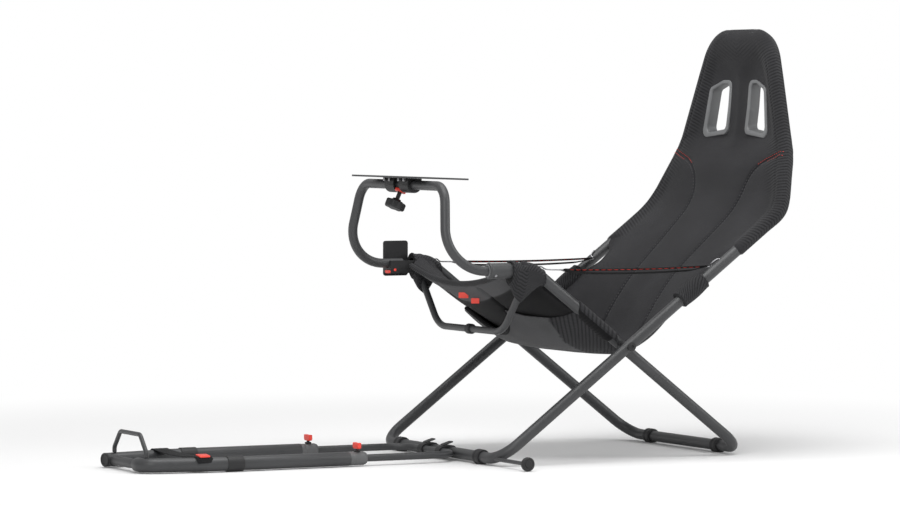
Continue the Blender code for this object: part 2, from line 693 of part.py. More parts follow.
def wheel_bar_path():
    left = [(SEAT_FRAME_HALF, -KNEE_REACH - 4 * FIT, KNEE_Z), (SEAT_FRAME_HALF, BAR_FRONT_Y, KNEE_Z),
            (BAR_TOP_HALF, BAR_TOP_Y, BAR_TOP_Z)]
    right = [(-x, y, z) for x, y, z in reversed(left)]
    radii = [BAR_LOWER_R, BAR_UPPER_R]
    return rounded_path(left + right, radii + radii[::-1])


def build_wheel_bar():
    add_part("wheel_bar", tube_mesh("wheel_bar", wheel_bar_path(), BAR_D), "wheel_bar", "tube_paint")


def plate_point(a, b, height):
    """Point of the plate's own frame: a across, b back, height above the bar's axis, tilted about the bar."""
    turn = Matrix.Rotation(PLATE_TILT, 3, "X")
    return PLATE_AXIS + turn @ Vector((a, b, height))


def build_wheel_plate():
    """Slotted plate on two saddles that grip the top of the wheel bar, with the cap under them."""
    saddle_top = BAR_D / 2 + SADDLE_LIFT
    low, high = saddle_top + FIT, saddle_top + FIT + PLATE_T
    half_w, half_d = PLATE_WIDTH / 2, PLATE_DEPTH / 2
    front, rear = PLATE_SET_BACK - half_d, PLATE_SET_BACK + half_d
    outline = rounded_outline([(-half_w, front), (half_w, front), (half_w, rear), (-half_w, rear)], PLATE_CORNER_R)
    plate = add_part("wheel_plate", prism_mesh("wheel_plate", outline, low, high, plate_point),
                     "wheel_plate", "plate_paint")
    for side in (LEFT, RIGHT):
        for place, end in (("front", -1), ("rear", 1)):
            x = side * PLATE_SLOT_HALF
            middle = PLATE_SET_BACK + end * (half_d - PLATE_SLOT_LENGTH / 2 - PLATE_CORNER_R)
            reach = (PLATE_SLOT_LENGTH - PLATE_SLOT_WIDTH) / 2
            slot = arc((x, middle + reach), PLATE_SLOT_WIDTH / 2, 0, 180, 8)
            slot += arc((x, middle - reach), PLATE_SLOT_WIDTH / 2, 180, 360, 8)
            name = f"{SIDE_NAME[side]}_{place}_slot"
            mesh = prism_mesh(name, slot, low - PLATE_T, high + PLATE_T, plate_point)
            cut(plate, add_cutter(name, mesh, "wheel_plate"))
    bore = BAR_D / 2 + FIT
    outer = BAR_D / 2 + SADDLE_WALL
    upper = [(outer, FIT), (outer, saddle_top), (-outer, saddle_top), (-outer, FIT)] + [(-bore, FIT)]
    upper += arc((0, FIT), bore, 172, 8, 10) + [(bore, FIT)]
    lower = [(-outer, -FIT), (-bore, -FIT)] + arc((0, -FIT), bore, 188, 352, 10) + [(bore, -FIT), (outer, -FIT)]
    lower += arc((0, -FIT), outer, -12, -168, 10)
    for side in (LEFT, RIGHT):
        start = side * SADDLE_SPACING / 2 - SADDLE_WIDTH / 2
        for label, outline in (("saddle", upper), ("clamp_cap", lower)):
            name = f"{SIDE_NAME[side]}_{label}"
            mesh = prism_mesh(name, outline, start, start + SADDLE_WIDTH, lambda a, b, h: plate_point(h, a, b))
            add_part(name, mesh, "wheel_plate", "black_plastic")


def knob_point(distance):
    """Point on the knob's stem, distance below the wheel bar's axis."""
    return PLATE_AXIS + distance * Vector((0, -math.sin(KNOB_TILT), -math.cos(KNOB_TILT)))


def turned_mesh(name, profile, start, direction, steps=20):
    """Solid of revolution: profile of (distance, radius) along direction from start."""
    turn = direction.to_track_quat("Z", "Y").to_matrix()
    shape = bmesh.new()
    ring = [shape.verts.new(start + turn @ Vector((radius, 0, distance))) for distance, radius in profile]
    edges = [shape.edges.new(pair) for pair in zip(ring, ring[1:])]
    bmesh.ops.spin(shape, geom=ring + edges, cent=start, axis=direction, angle=2 * math.pi, steps=steps)
    return finish_mesh(shape, name)


def build_knob():
    """Red lock ring against the bar, and the knob that tightens it."""
    down = (knob_point(1) - knob_point(0)).normalized()
    ring_top = BAR_D / 2 + SLIP
    ring_path = [knob_point(ring_top), knob_point(ring_top + RING_T)]
    add_part("lock_ring", sleeve_mesh("lock_ring", ring_path, KNOB_STEM_D + 2 * FIT, RING_D),
             "wheel_plate", "red_plastic")
    head = ring_top + KNOB_STEM_LENGTH
    profile = [(ring_top, 0.0), (ring_top, KNOB_STEM_D / 2), (head, KNOB_STEM_D / 2), (head, KNOB_D * 0.40),
               (head + KNOB_T * 0.25, KNOB_D / 2), (head + KNOB_T * 0.8, KNOB_D / 2), (head + KNOB_T, KNOB_D * 0.42),
               (head + KNOB_T, 0.0)]
    add_part("clamp_knob", turned_mesh("clamp_knob", profile, knob_point(0), down), "clamp_knob", "black_plastic")


def build_pedal_slider():
    """Inner U of the pedal rail and the two hooks that hang it on the front cross tube."""
    left = [(RAIL_HALF, SLIDER_FRONT_Y, RAIL_Z), (RAIL_HALF, SLIDER_REAR_Y, RAIL_Z)]
    right = [(-x, y, z) for x, y, z in reversed(left)]
    path = rounded_path(left + right, [SLIDER_CORNER_R, SLIDER_CORNER_R])
    add_part("pedal_slider", tube_mesh("pedal_slider", path, SLIDER_D), "pedal_slider", "tube_paint")
    tube_r, bar_r = TUBE_R + FIT, SLIDER_D / 2 + FIT
    bar_y, bar_z = SLIDER_REAR_Y - FRONT_BASE_Y, RAIL_Z - BASE_Z
    for side in (LEFT, RIGHT):
        name = SIDE_NAME[side] + "_rail_hook"
        outer = arc((0, 0), tube_r + HOOK_WALL, -20, 118, 12)
        outer += arc((bar_y, bar_z), bar_r + HOOK_WALL, 100, 255, 10)
        inner = arc((bar_y, bar_z), bar_r, 255, 76, 10) + arc((0, 0), tube_r, 112, -20, 12)
        x = side * HOOK_HALF - HOOK_WIDTH / 2
        mesh = prism_mesh(name, outer + inner, x, x + HOOK_WIDTH,
                          lambda a, b, h: (h, FRONT_BASE_Y + a, BASE_Z + b))
        add_part(name, mesh, "pedal_slider", "black_plastic")


def rail_x(y):
    """Distance of a rail's centre line from the middle plane on its slanted front stretch."""
    return RAIL_FRONT_HALF + (y - RAIL_FRONT_Y) * math.tan(RAIL_SLANT)


def rail_path(side):
    """Centre line of one outer rail: the left one turns in at the front, the right one ends there."""
    rear = [(side * RAIL_HALF, RAIL_KINK_Y, RAIL_Z), (side * RAIL_HALF, RAIL_REAR_Y - FIT, RAIL_Z)]
    if side == LEFT:
        front = [(RAIL_FRONT_HALF - RAIL_STUB, RAIL_FRONT_Y, RAIL_Z), (RAIL_FRONT_HALF, RAIL_FRONT_Y, RAIL_Z)]
        return rounded_path(front + rear, [RAIL_CORNER_R, RAIL_KINK_R])
    return rounded_path([(-rail_x(RAIL_END_Y), RAIL_END_Y, RAIL_Z)] + rear, [RAIL_KINK_R])


def build_pedal_rail():
    """Two padded outer rails with their collars and bands, joined at the front by the cross rail."""
    for side in (LEFT, RIGHT):
        label, x = SIDE_NAME[side], side * RAIL_HALF
        rail = add_part(label + "_rail", tube_mesh(label + "_rail", rail_path(side), RAIL_D),
                        "pedal_rail", "foam_cover")
        kink_end = RAIL_KINK_Y + RAIL_KINK_R * math.tan(RAIL_SLANT / 2)
        bore = cylinder_mesh(label + "_rail_bore", (x, kink_end, RAIL_Z), (x, RAIL_REAR_Y + RAIL_D, RAIL_Z), RAIL_BORE)
        cut(rail, add_cutter(label + "_rail_bore", bore, "pedal_rail"))
        name = label + "_collar"
        ends = [(x, RAIL_REAR_Y, RAIL_Z), (x, RAIL_REAR_Y + COLLAR_LENGTH, RAIL_Z)]
        collar = add_part(name, sleeve_mesh(name, ends, RAIL_BORE, COLLAR_D), "pedal_rail", "light_collar")
        middle = RAIL_REAR_Y + COLLAR_LENGTH / 2
        hole = cylinder_mesh(name + "_hole", (x, middle, RAIL_Z), (x, middle, RAIL_Z + COLLAR_D),
                             SCREW_D + 2 * FIT, sides=16)
        cut(collar, add_cutter(name + "_hole", hole, "pedal_rail"))
        ends = [(x, kink_end, RAIL_Z), (x, kink_end + BAND_LENGTH, RAIL_Z)]
        add_part(label + "_band", sleeve_mesh(label + "_band", ends, RAIL_D + FIT, RAIL_D + 2 * (FIT + BAND_WALL)),
                 "pedal_rail", "webbing")
    reach = rail_x(RAIL_FRONT_Y - CROSS_RAIL_D / 2) - RAIL_D / 2 / math.cos(RAIL_SLANT) - FIT
    ends = [(-reach, RAIL_FRONT_Y, RAIL_Z), (RAIL_FRONT_HALF - RAIL_STUB - FIT, RAIL_FRONT_Y, RAIL_Z)]
    add_part("cross_rail", tube_mesh("cross_rail", ends, CROSS_RAIL_D), "pedal_rail", "tube_paint")
    start = Vector((-rail_x(RAIL_END_Y), RAIL_END_Y, RAIL_Z))
    ahead = Vector((math.sin(RAIL_SLANT), -math.cos(RAIL_SLANT), 0))
    cap = cylinder_mesh("rail_end_cap", start + ahead * FIT, start + ahead * (FIT + END_CAP_T), RAIL_D)
    add_part("rail_end_cap", cap, "pedal_rail", "black_plastic")


def build_pedal_hoop():
    """Wire hoop that stops the pedals at the front, standing on the two rails."""
    y, foot_z = RAIL_FRONT_Y + HOOP_BACK, RAIL_Z + RAIL_D / 2 + FIT
    left, right = RAIL_FRONT_HALF - HOOP_BACK, rail_x(RAIL_FRONT_Y + HOOP_BACK)
    corner = [(left, y, foot_z), (left, y, foot_z + HOOP_STUB), (left - HOOP_LEAN, y, foot_z + HOOP_RISE)]
    far = [(HOOP_LEAN - right, y, foot_z + HOOP_RISE), (-right, y, foot_z + HOOP_STUB), (-right, y, foot_z)]
    path = rounded_path(corner + far, [HOOP_STUB, HOOP_R, HOOP_R, HOOP_STUB])
    add_part("pedal_hoop", tube_mesh("pedal_hoop", path, HOOP_D, sides=8), "pedal_rail", "tube_paint")


def strip_mesh(name, ends, width, thickness, sag, steps, wide):
    """Flat webbing between two end points: it sags as a parabola, and wide is the way across it."""
    t = np.linspace(0, 1, steps + 1)[:, None]
    line = np.array(ends[0]) * (1 - t) + np.array(ends[1]) * t
    line[:, 2] -= sag * 4 * (t * (1 - t))[:, 0]
    side = np.array(wide)[None, None, :] * width * np.linspace(-0.5, 0.5, 3)[None, :, None]
    grid = line[:, None, :] + side
    up = np.array([0, 0, thickness / 2])
    return sheet_mesh(name, grid + up, grid - up)


def build_heel_strap():
    """Webbing across the rails for the driver's heels, with its red pull tab."""
    z = RAIL_Z + RAIL_D / 2 + SLIP + HEEL_STRAP_T / 2
    half = rail_x(HEEL_STRAP_Y)
    ends = [(-half, HEEL_STRAP_Y, z), (half, HEEL_STRAP_Y, z)]
    add_part("heel_strap", strip_mesh("heel_strap", ends, HEEL_STRAP_WIDTH, HEEL_STRAP_T, HEEL_STRAP_SAG, 12, (0, 1, 0)),
             "pedal_rail", "webbing")
    low = z + HEEL_STRAP_T / 2 + FIT
    tab = box_mesh("strap_tab", (half - TAB_SIZE / 2, HEEL_STRAP_Y - TAB_SIZE / 2, low),
                   (half + TAB_SIZE / 2, HEEL_STRAP_Y + TAB_SIZE / 2, low + TAB_T))
    add_part("strap_tab", tab, "pedal_rail", "red_plastic")


def build_rail_screws():
    """Red wing screws that clamp the slider in the collars."""
    for side in (LEFT, RIGHT):
        name = SIDE_NAME[side] + "_rail_screw"
        x, y, z = AXES[name][0]
        top = z + COLLAR_D / 2 + SCREW_RISE
        stem = cylinder_mesh(name + "_stem", (x, y, z + SLIDER_D / 2 + SLIP), (x, y, top + WING_RISE / 2), SCREW_D, sides=12)
        half_l, half_w = WING_LENGTH / 2, WING_WIDTH / 2
        outline = rounded_outline([(-half_l, 0), (half_l, 0), (half_l, WING_RISE), (-half_l, WING_RISE)], WING_R)
        wing = prism_mesh(name, outline, -half_w, half_w, lambda a, b, h: (x + a, y + h, top + b))
        screw = add_part(name, wing, name, "red_plastic")
        join(screw, add_cutter(name + "_stem", stem, name))


def build_stabiliser():
    """Rod that slides out of the front cross tube to the left, with its round foot."""
    inner, outer = BACK_FRAME_HALF - STABILISER_SINK, STABILISER_REACH - STABILISER_FOOT_T - FIT
    rod = cylinder_mesh("stabiliser_rod", (inner, FRONT_BASE_Y, BASE_Z), (outer, FRONT_BASE_Y, BASE_Z), STABILISER_D, 12)
    add_part("stabiliser_rod", rod, "stabiliser", "bolt_steel")
    foot = cylinder_mesh("stabiliser_foot", (outer + FIT, FRONT_BASE_Y, BASE_Z), (STABILISER_REACH, FRONT_BASE_Y, BASE_Z),
                         STABILISER_FOOT_D)
    add_part("stabiliser_foot", foot, "stabiliser", "black_plastic")


def scallop(run, middle, depth, width):
    """Depth of the bay cut into the sling's edge where the tube is left bare."""
    return depth * np.exp(-(((run - middle) / width) ** 2))


def build_seat_sling():
    """Seat half of the sling, hung on the seat frame from the knees back to the hip crease."""
    edge = smooth_rows([(SEAT_FRONT_Y, KNEE_Z), (KNEE_Y - KNEE_R / 4, KNEE_Z), seat_line(KNEE_RUN * 0.5),
                        seat_line(KNEE_RUN * 0.1), (SEAT_REAR_Y - SEAT_REAR_IN, PIVOT_Z - SEAT_REAR_DROP)], SEAT_ROWS)
    middle = smooth_rows([(SEAT_FRONT_Y, KNEE_Z - SEAT_FRONT_DIP), (SEAT_FRONT_Y * 0.66, SEAT_MID_Z),
                          (SEAT_FRONT_Y * 0.27, SEAT_LOW_Z), (SEAT_REAR_Y, SLING_LOW_Z)], SEAT_ROWS)
    widest = SEAT_FRAME_HALF - max(SOCKET_D, CRADLE_WIDTH) / 2 - SLING_EASE
    narrow = SEAT_FRAME_HALF - TUBE_R - PIVOT_TAIL_T - 4 * FIT
    half = np.interp(edge[:, 0], [KNEE_Y, 0], [widest, narrow])
    half -= scallop(edge[:, 0], SEAT_BAY_Y, SEAT_BAY_DEPTH, SEAT_BAY_WIDTH)
    add_part("seat_sling", padded_sheet("seat_sling", middle, edge, half), "seat_frame", "seat_fabric")


def rear_normal(points):
    """Unit vectors that point behind the backrest along a (y, z) line that climbs."""
    along = np.gradient(points, axis=0)
    along /= np.linalg.norm(along, axis=1, keepdims=True)
    return np.stack([along[:, 1], -along[:, 0]], 1)


def build_lower_back():
    """Lower half of the backrest sling, from the hip crease up to the wings, hung by loops from the back frame."""
    start = SEAT_REAR_Y + HIP_GAP
    joint_run = WING_START_RUN - HIP_GAP
    joint = np.array(back_line(joint_run))
    sag = np.array([math.sin(BACK_ANGLE), -math.cos(BACK_ANGLE)]) * WING_SAG
    edge = smooth_rows([(start - SEAT_REAR_IN, PIVOT_Z - SEAT_REAR_DROP), back_line(LOOP_RUN / 2), back_line(LOOP_RUN),
                        tuple(joint)], LOWER_ROWS)
    middle = smooth_rows([(start, SLING_LOW_Z), (HIP_Y * 0.68, SLING_LOW_Z + 0.003), (HIP_Y, HIP_Z), tuple(joint + sag)],
                         LOWER_ROWS)
    narrow = SEAT_FRAME_HALF - TUBE_R - PIVOT_TAIL_T - 4 * FIT
    half = np.interp(edge[:, 0], [start - SEAT_REAR_IN, back_line(LOOP_RUN / 2)[0]], [narrow, loop_inner()])
    half -= scallop(edge[:, 0] / math.cos(BACK_ANGLE), BACK_BAY_RUN, BACK_BAY_DEPTH, BACK_BAY_WIDTH)
    add_part("lower_back_sling", padded_sheet("lower_back_sling", middle, edge, half), "back_frame", "seat_fabric")


def loop_inner():
    """Half width left free between the fabric loops on the back frame."""
    return BACK_FRAME_HALF - TUBE_R - LOOP_WALL - LOOP_EASE


def back_outline():
    """Inner outline of the back frame's left half, unrolled: rows of (x, length) and (y, z) against length."""
    start_y, start_z = back_line(WING_START_RUN)
    hoop = hoop_path()
    left = [Vector((BACK_FRAME_HALF, start_y, start_z))] + hoop[:len(hoop) // 2]
    line = np.array([tuple(p) for p in left])
    length = np.concatenate([[0], np.cumsum(np.hypot(np.diff(line[:, 1]), np.diff(line[:, 2])))])
    flat = np.stack([line[:, 0], length], 1)
    along = np.gradient(flat, axis=0)
    along /= np.linalg.norm(along, axis=1, keepdims=True)
    inset = flat + np.stack([-along[:, 1], along[:, 0]], 1) * (TUBE_R + EDGE_EASE)
    return inset, line[:, 1:], length


def build_backrest():
    """Padded cover stretched inside the back hoop, with its two moulded vents."""
    inset, profile, length = back_outline()
    top = length[-1] - TUBE_R - EDGE_EASE
    spots = np.linspace(0, top, BACK_ROWS)
    order = np.argsort(inset[:, 1])
    half = np.interp(spots, inset[order, 1], inset[order, 0])
    edge = np.stack([np.interp(spots, length, profile[:, k]) for k in (0, 1)], 1)
    half[0] = min(half[0], loop_inner())
    half -= scallop(WING_START_RUN + spots, BACK_BAY_RUN, BACK_BAY_DEPTH, BACK_BAY_WIDTH)
    share = spots / top
    sag = HEAD_SAG + (WING_SAG - HEAD_SAG) * (1 - np.clip(share / 0.62, 0, 1)) ** 1.2
    middle = edge + rear_normal(edge) * sag[:, None]
    seam = np.interp(share, [0, 0.2, 0.36, 0.44], [SEAM_SHARE, SEAM_SHARE * 0.95, 0.72, 1.3])
    cover = add_part("backrest_cover", padded_sheet("backrest_cover", middle, edge, half, seam=seam),
                     "back_frame", "seat_fabric")
    rear = OUTER_REAR - FIT
    for side in (LEFT, RIGHT):
        corners = [(VENT_INNER_X, VENT_LOW_Z), (VENT_OUTER_X, VENT_LOW_Z), (VENT_OUTER_X - VENT_TAPER, VENT_SHOULDER_Z),
                   (VENT_INNER_X + VENT_TOP, VENT_TOP_Z), (VENT_INNER_X, VENT_TOP_Z)]
        place = lambda a, b, h: (side * a, h, b)
        name = SIDE_NAME[side] + "_vent"
        middle_a = sum(c[0] for c in corners) / len(corners)
        middle_b = sum(c[1] for c in corners) / len(corners)
        outer = rounded_outline(corners, VENT_R)
        inner = [(middle_a + (a - middle_a) * VENT_OPEN, middle_b + (b - middle_b) * VENT_OPEN) for a, b in outer]
        hole = [(middle_a + (a - middle_a) * VENT_SEAT, middle_b + (b - middle_b) * VENT_SEAT) for a, b in outer]
        cutter = prism_mesh(name + "_hole", hole, rear - 4 * VENT_DEPTH, rear + VENT_DEPTH, place)
        cut(cover, add_cutter(name + "_hole", cutter, "back_frame"))
        add_part(name, ring_prism_mesh(name, outer, inner, rear - VENT_DEPTH, rear, place), "back_frame", "light_collar")


def build_fabric_fittings():
    """Loops on the back frame, pockets over the knees and the two side straps that stop the frame opening."""
    for side in (LEFT, RIGHT):
        label = SIDE_NAME[side]
        ends = [(side * BACK_FRAME_HALF, *back_line(LOOP_RUN + end * LOOP_LENGTH / 2)) for end in (-1, 1)]
        add_part(label + "_back_loop", sleeve_mesh(label + "_back_loop", ends, TUBE_D + FIT, TUBE_D + 2 * LOOP_WALL),
                 "back_frame", "side_mesh")
        name = label + "_knee_pocket"
        front = SOCKET_REAR if side == LEFT else CRADLE_REAR - FIT
        x = side * SEAT_FRAME_HALF
        path = rounded_path([(x, *seat_line(KNEE_RUN - POCKET_RUN)), (x, KNEE_Y, KNEE_Z), (x, -front + FIT, KNEE_Z)],
                            [KNEE_R])
        pocket = add_part(name, sleeve_mesh(name, path, TUBE_D + FIT, TUBE_D + 2 * POCKET_WALL), "seat_frame", "side_mesh")
        hole = cylinder_mesh(name + "_hole", (x, BRACE_TOP_Y, KNEE_Z - 2 * TUBE_D), (x, BRACE_TOP_Y, KNEE_Z),
                             BRACE_D + 4 * SLIP)
        cut(pocket, add_cutter(name + "_hole", hole, "seat_frame"))
        strap_x = side * (BACK_FRAME_HALF - TUBE_R - FIT - STRAP_WIDTH / 2)
        front_z = seat_line(-STRAP_FRONT_Y / math.cos(SEAT_ANGLE))[1] + SLIP + STRAP_T / 2
        front_z += (TUBE_R + POCKET_WALL) / math.cos(SEAT_ANGLE)
        rear_z = back_line(STRAP_REAR_Y / math.cos(BACK_ANGLE))[1]
        ends = [(strap_x, STRAP_FRONT_Y, front_z), (strap_x, STRAP_REAR_Y, rear_z)]
        mesh = strip_mesh(label + "_side_strap", ends, STRAP_WIDTH, STRAP_T, STRAP_SAG, 16, (1, 0, 0))
        add_part(label + "_side_strap", mesh, "back_frame", "webbing")


def main():
    build_back_frame()
    build_seat_frame()
    build_pivots()
    build_bar_seats()
    build_latch()
    build_wheel_bar()
    build_wheel_plate()
    build_knob()
    build_pedal_slider()
    build_pedal_rail()
    build_pedal_hoop()
    build_heel_strap()
    build_rail_screws()
    build_stabiliser()
    build_seat_sling()
    build_lower_back()
    build_backrest()
    build_fabric_fittings()


clear_scene()
PARTS = new_collection("racing_sling_seat")
CUTTERS = new_collection("cutters")
PAINTS = {name: make_material(name) for name in PAINT}
EMPTIES = make_axes()
main()
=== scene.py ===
"""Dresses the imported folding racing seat: tubes, padded sling, pockets, webbing, moulded fittings."""

import math

import bmesh
import bpy
import numpy as np
from bpy.props import FloatProperty, FloatVectorProperty, PointerProperty
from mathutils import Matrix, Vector


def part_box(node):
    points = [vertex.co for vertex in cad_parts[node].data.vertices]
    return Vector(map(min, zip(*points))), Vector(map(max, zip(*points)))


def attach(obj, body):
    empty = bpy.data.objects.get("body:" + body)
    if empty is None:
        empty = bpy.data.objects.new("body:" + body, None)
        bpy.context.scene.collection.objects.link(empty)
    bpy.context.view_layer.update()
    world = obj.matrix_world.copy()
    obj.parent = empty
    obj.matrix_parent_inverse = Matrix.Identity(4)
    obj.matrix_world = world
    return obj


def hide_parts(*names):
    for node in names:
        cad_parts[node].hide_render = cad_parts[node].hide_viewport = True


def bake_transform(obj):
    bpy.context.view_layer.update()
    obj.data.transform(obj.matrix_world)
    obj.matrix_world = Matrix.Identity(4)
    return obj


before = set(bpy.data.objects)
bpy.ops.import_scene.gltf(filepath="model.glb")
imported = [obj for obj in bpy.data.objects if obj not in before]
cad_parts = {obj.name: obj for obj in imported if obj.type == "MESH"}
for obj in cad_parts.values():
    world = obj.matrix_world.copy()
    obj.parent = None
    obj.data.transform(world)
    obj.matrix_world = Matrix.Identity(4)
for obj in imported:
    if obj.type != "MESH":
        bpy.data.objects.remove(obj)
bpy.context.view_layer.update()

bl_info = {
    "name": "Folding racing seat",
    "version": (1, 0, 0),
    "blender": (4, 5, 0),
    "location": "3D View > Sidebar > Racing Seat",
    "description": "Builds the visible pieces of a folding racing seat around its packed frame",
    "category": "Object",
}

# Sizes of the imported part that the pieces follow, in metres and radians, from the floor below the pivot axis.
TUBE_R = 0.0127
BACK_HALF = 0.298
SEAT_HALF = 0.2618
PIVOT_Z = 0.264
BASE_Z = 0.016
FRONT_Y = -0.33151
REAR_Y = 0.31857
FRONT_FOOT_X = 0.2025
REAR_FOOT_X = 0.159
BACK_ANGLE = math.radians(36.8)
SEAT_ANGLE = math.radians(37.9)
SHOULDER_RUN = 0.5055
KNEE_RUN = 0.288
KNEE_Y = -KNEE_RUN * math.cos(SEAT_ANGLE)
KNEE_Z = 0.441
KNEE_BEND = 0.060
LEG_BEND = 0.055
LEFT_TUBE_END_Y = -0.300
RIGHT_TUBE_END_Y = -0.2757
SHOULDER = (BACK_HALF, 0.4048, 0.5668)
NECK = (0.236, 0.4548, 0.7058)
CROWN = (0.126, 0.4788, 0.9798)
HOOP_BENDS = (0.09, 0.25, 0.09)
BRACE_R = 0.008
BRACE_HALF = 0.163
BRACE_Y = -0.254
BRACE_Z = 0.296
BAR_R = 0.011
BAR_HALF = 0.213
SOCKET_Y = -0.275
PLATE_AXIS = (0.0, -0.4285, 0.632)
PLATE_TILT = math.radians(-2.2)
KNOB_LEAN = math.radians(24)
RAIL_X = 0.130
RAIL_Z = 0.01755
RAIL_R = 0.01575
RAIL_BEND_Y = -0.945
RAIL_REAR_Y = -0.6303
SLIDER_R = 0.00825
CROSS_RAIL_R = 0.011
CROSS_RAIL_Y = -1.115
FOOT_HOOP_R = 0.005
FOOT_HOOP_Y = -1.106
COLLAR_Y = -0.630
BAND_Y = -0.9328
SCREW_Y = -0.609
RAIL_CAP = (-0.0919, -1.130, RAIL_Z)
RAIL_CAP_LEAN = math.radians(11.63)
SLIDE_ROD_R = 0.0045
SLIDE_ROD_ENDS = (0.148, 0.4237)

# Sizes of the cloth pieces, in metres and radians; the cut for a vent is a share of the vent's outline.
SLEEVE_R = 0.0152
HEM_R = 0.0045
COVER_RUN = 0.385
PAD = 0.0060
HEAD_PAD = 0.0078
BACK_PAD = 0.0060
LEAST_PAD = 0.0012
HEAD_Z = 0.69
DISH_MIDDLE = (0.098, 0.806)
DISH_SIZE = (0.105, 0.122)
DISH_DEPTH = 0.0063
SEAM_X = 0.096
SEAM_TOP_Z = 0.703
SEAM_WIDTH = 0.0042
BORDER_INSET = 0.024
PUCKER_DEPTH = 0.0005
PUCKER_PITCH = 0.017
VENT_CORNERS = np.array([(0.039, 0.745), (0.1525, 0.7338), (0.129, 0.856), (0.0765, 0.8745),
                         (0.039, 0.8745)])
VENT_CORNER_R = 0.017
VENT_INSET = 0.0022
VENT_CUT = 0.89
LINING_THICK = 0.003
BINDING_R = 0.0048
FRONT_ROLL_R = 0.0064
LEFT_POCKET_Y = -0.288
LOOP_RUN = 0.168
LOOP_LENGTH = 0.080
WEBBING_THICK = 0.0022
STRAP_WIDTH = 0.022
STRAP_LEAN = math.radians(-10.0)
STRAP_X = 0.274
STRAP_Z = 0.4415
STRAP_FRONT_Y = -0.158
STRAP_REAR_Y = 0.2195
HEEL_WIDTH = 0.038
HEEL_HALF = 0.1218
HEEL_Y = -0.985
HEEL_RISE = 0.0178

# Rows of the sling: the seat, the lower back, the rest; the rows with knots; the rows smoothed over the hips.
SEAT_ROWS = 90
LOW_ROWS = 84
HEAD_ROWS = 136
KNOT_ROWS = 190
HIP_ROWS = slice(60, 205)

SIDES = (("left", 1), ("right", -1))


# Numbers and lines.


def unit(v):
    """Vectors of length one: v / |v| along the last axis."""
    v = np.asarray(v, float)
    return v / np.maximum(np.linalg.norm(v, axis=-1, keepdims=True), 1e-12)


def ease(x):
    """Smooth step: 3 x^2 - 2 x^3 for x held between 0 and 1."""
    x = np.clip(x, 0.0, 1.0)
    return x * x * (3.0 - 2.0 * x)


def pivot_place():
    """Where the design's pivot axis stands in the row frame: the middle of the two pivot pins."""
    corners = np.concatenate([np.array(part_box(n), float) for n in ("left_pivot_pin", "right_pivot_pin")])
    return np.array([(corners[:, 0].min() + corners[:, 0].max()) / 2, corners[:, 1].mean(), 0.0])


SHIFT = pivot_place()


def back_line(run):
    """Point (y, z) of the back tubes' straight line: pivot + run (cos, sin) of the back angle."""
    return (run * math.cos(BACK_ANGLE), PIVOT_Z + run * math.sin(BACK_ANGLE))


def seat_line(run):
    """Point (y, z) of the seat tubes' straight line: pivot + run (-cos, sin) of the seat angle."""
    return (-run * math.cos(SEAT_ANGLE), PIVOT_Z + run * math.sin(SEAT_ANGLE))


def bent_path(points, radii, step=0.08):
    """Line of straight runs with an arc at each inner corner.

    An arc is centre + start cos t - radius back sin t, for t from 0 to the turn.
    """
    p = np.asarray(points, float)
    line = [p[:1]]
    for before, corner, after, radius in zip(p, p[1:], p[2:], radii):
        back, ahead = unit(before - corner), unit(after - corner)
        half = (math.pi - math.acos(float(np.clip(back @ ahead, -1.0, 1.0)))) / 2
        centre = corner + unit(back + ahead) * radius / math.cos(half)
        start = corner + back * radius * math.tan(half) - centre
        t = np.linspace(0.0, 2 * half, max(3, int(2 * half / step) + 1))[:, None]
        line.append(centre + start * np.cos(t) - back * radius * np.sin(t))
    line.append(p[-1:])
    line = np.concatenate(line)
    apart = np.linalg.norm(np.diff(line, axis=0), axis=1) > 1e-5
    return line[np.concatenate([[True], apart])]


def rounded_outline(corners, radius, step=0.3):
    """Closed outline of straight sides with an arc at each corner, as rows of (a, b)."""
    c = np.asarray(corners, float)
    flat = np.column_stack([c, np.zeros(len(c))])
    middle = (flat[:1] + flat[-1:]) / 2
    return bent_path(np.concatenate([middle, flat, middle]), [radius] * len(c), step)[:-1, :2]


def box_outline(width, height, radius, step=0.3):
    """Rounded outline of a width by height rectangle about the origin."""
    corners = np.array([(-0.5, -0.5), (0.5, -0.5), (0.5, 0.5), (-0.5, 0.5)]) * (width, height)
    return rounded_outline(corners, radius, step)


def smooth_line(points, count):
    """Catmull-Rom line through the points, as count points spaced evenly along it."""
    p = np.asarray(points, float)
    p = np.concatenate([2 * p[:1] - p[1:2], p, 2 * p[-1:] - p[-2:-1]])
    t = np.linspace(0.0, 1.0, 60, endpoint=False)[:, None]
    pieces = []
    for a, b, c, d in zip(p, p[1:], p[2:], p[3:]):
        square = 2 * a - 5 * b + 4 * c - d
        cube = 3 * b - a - 3 * c + d
        pieces.append(0.5 * (2 * b + (c - a) * t + square * t ** 2 + cube * t ** 3))
    fine = np.concatenate(pieces + [p[-2:-1]])
    return respaced(fine, count)


def run_along(line):
    """Distance along a line from its first point to each of its points."""
    return np.concatenate([[0.0], np.cumsum(np.linalg.norm(np.diff(line, axis=0), axis=1))])


def respaced(line, count):
    """The same line as count points spaced evenly along it."""
    run = run_along(line)
    at = np.linspace(0.0, run[-1], count)
    return np.column_stack([np.interp(at, run, line[:, k]) for k in range(line.shape[1])])


def blurred(values, passes):
    """Rows averaged with their neighbours (1, 2, 1) / 4, the given number of times, ends held."""
    v = np.array(values, float)
    for _ in range(passes):
        v[1:-1] = (v[:-2] + 2 * v[1:-1] + v[2:]) / 4
    return v


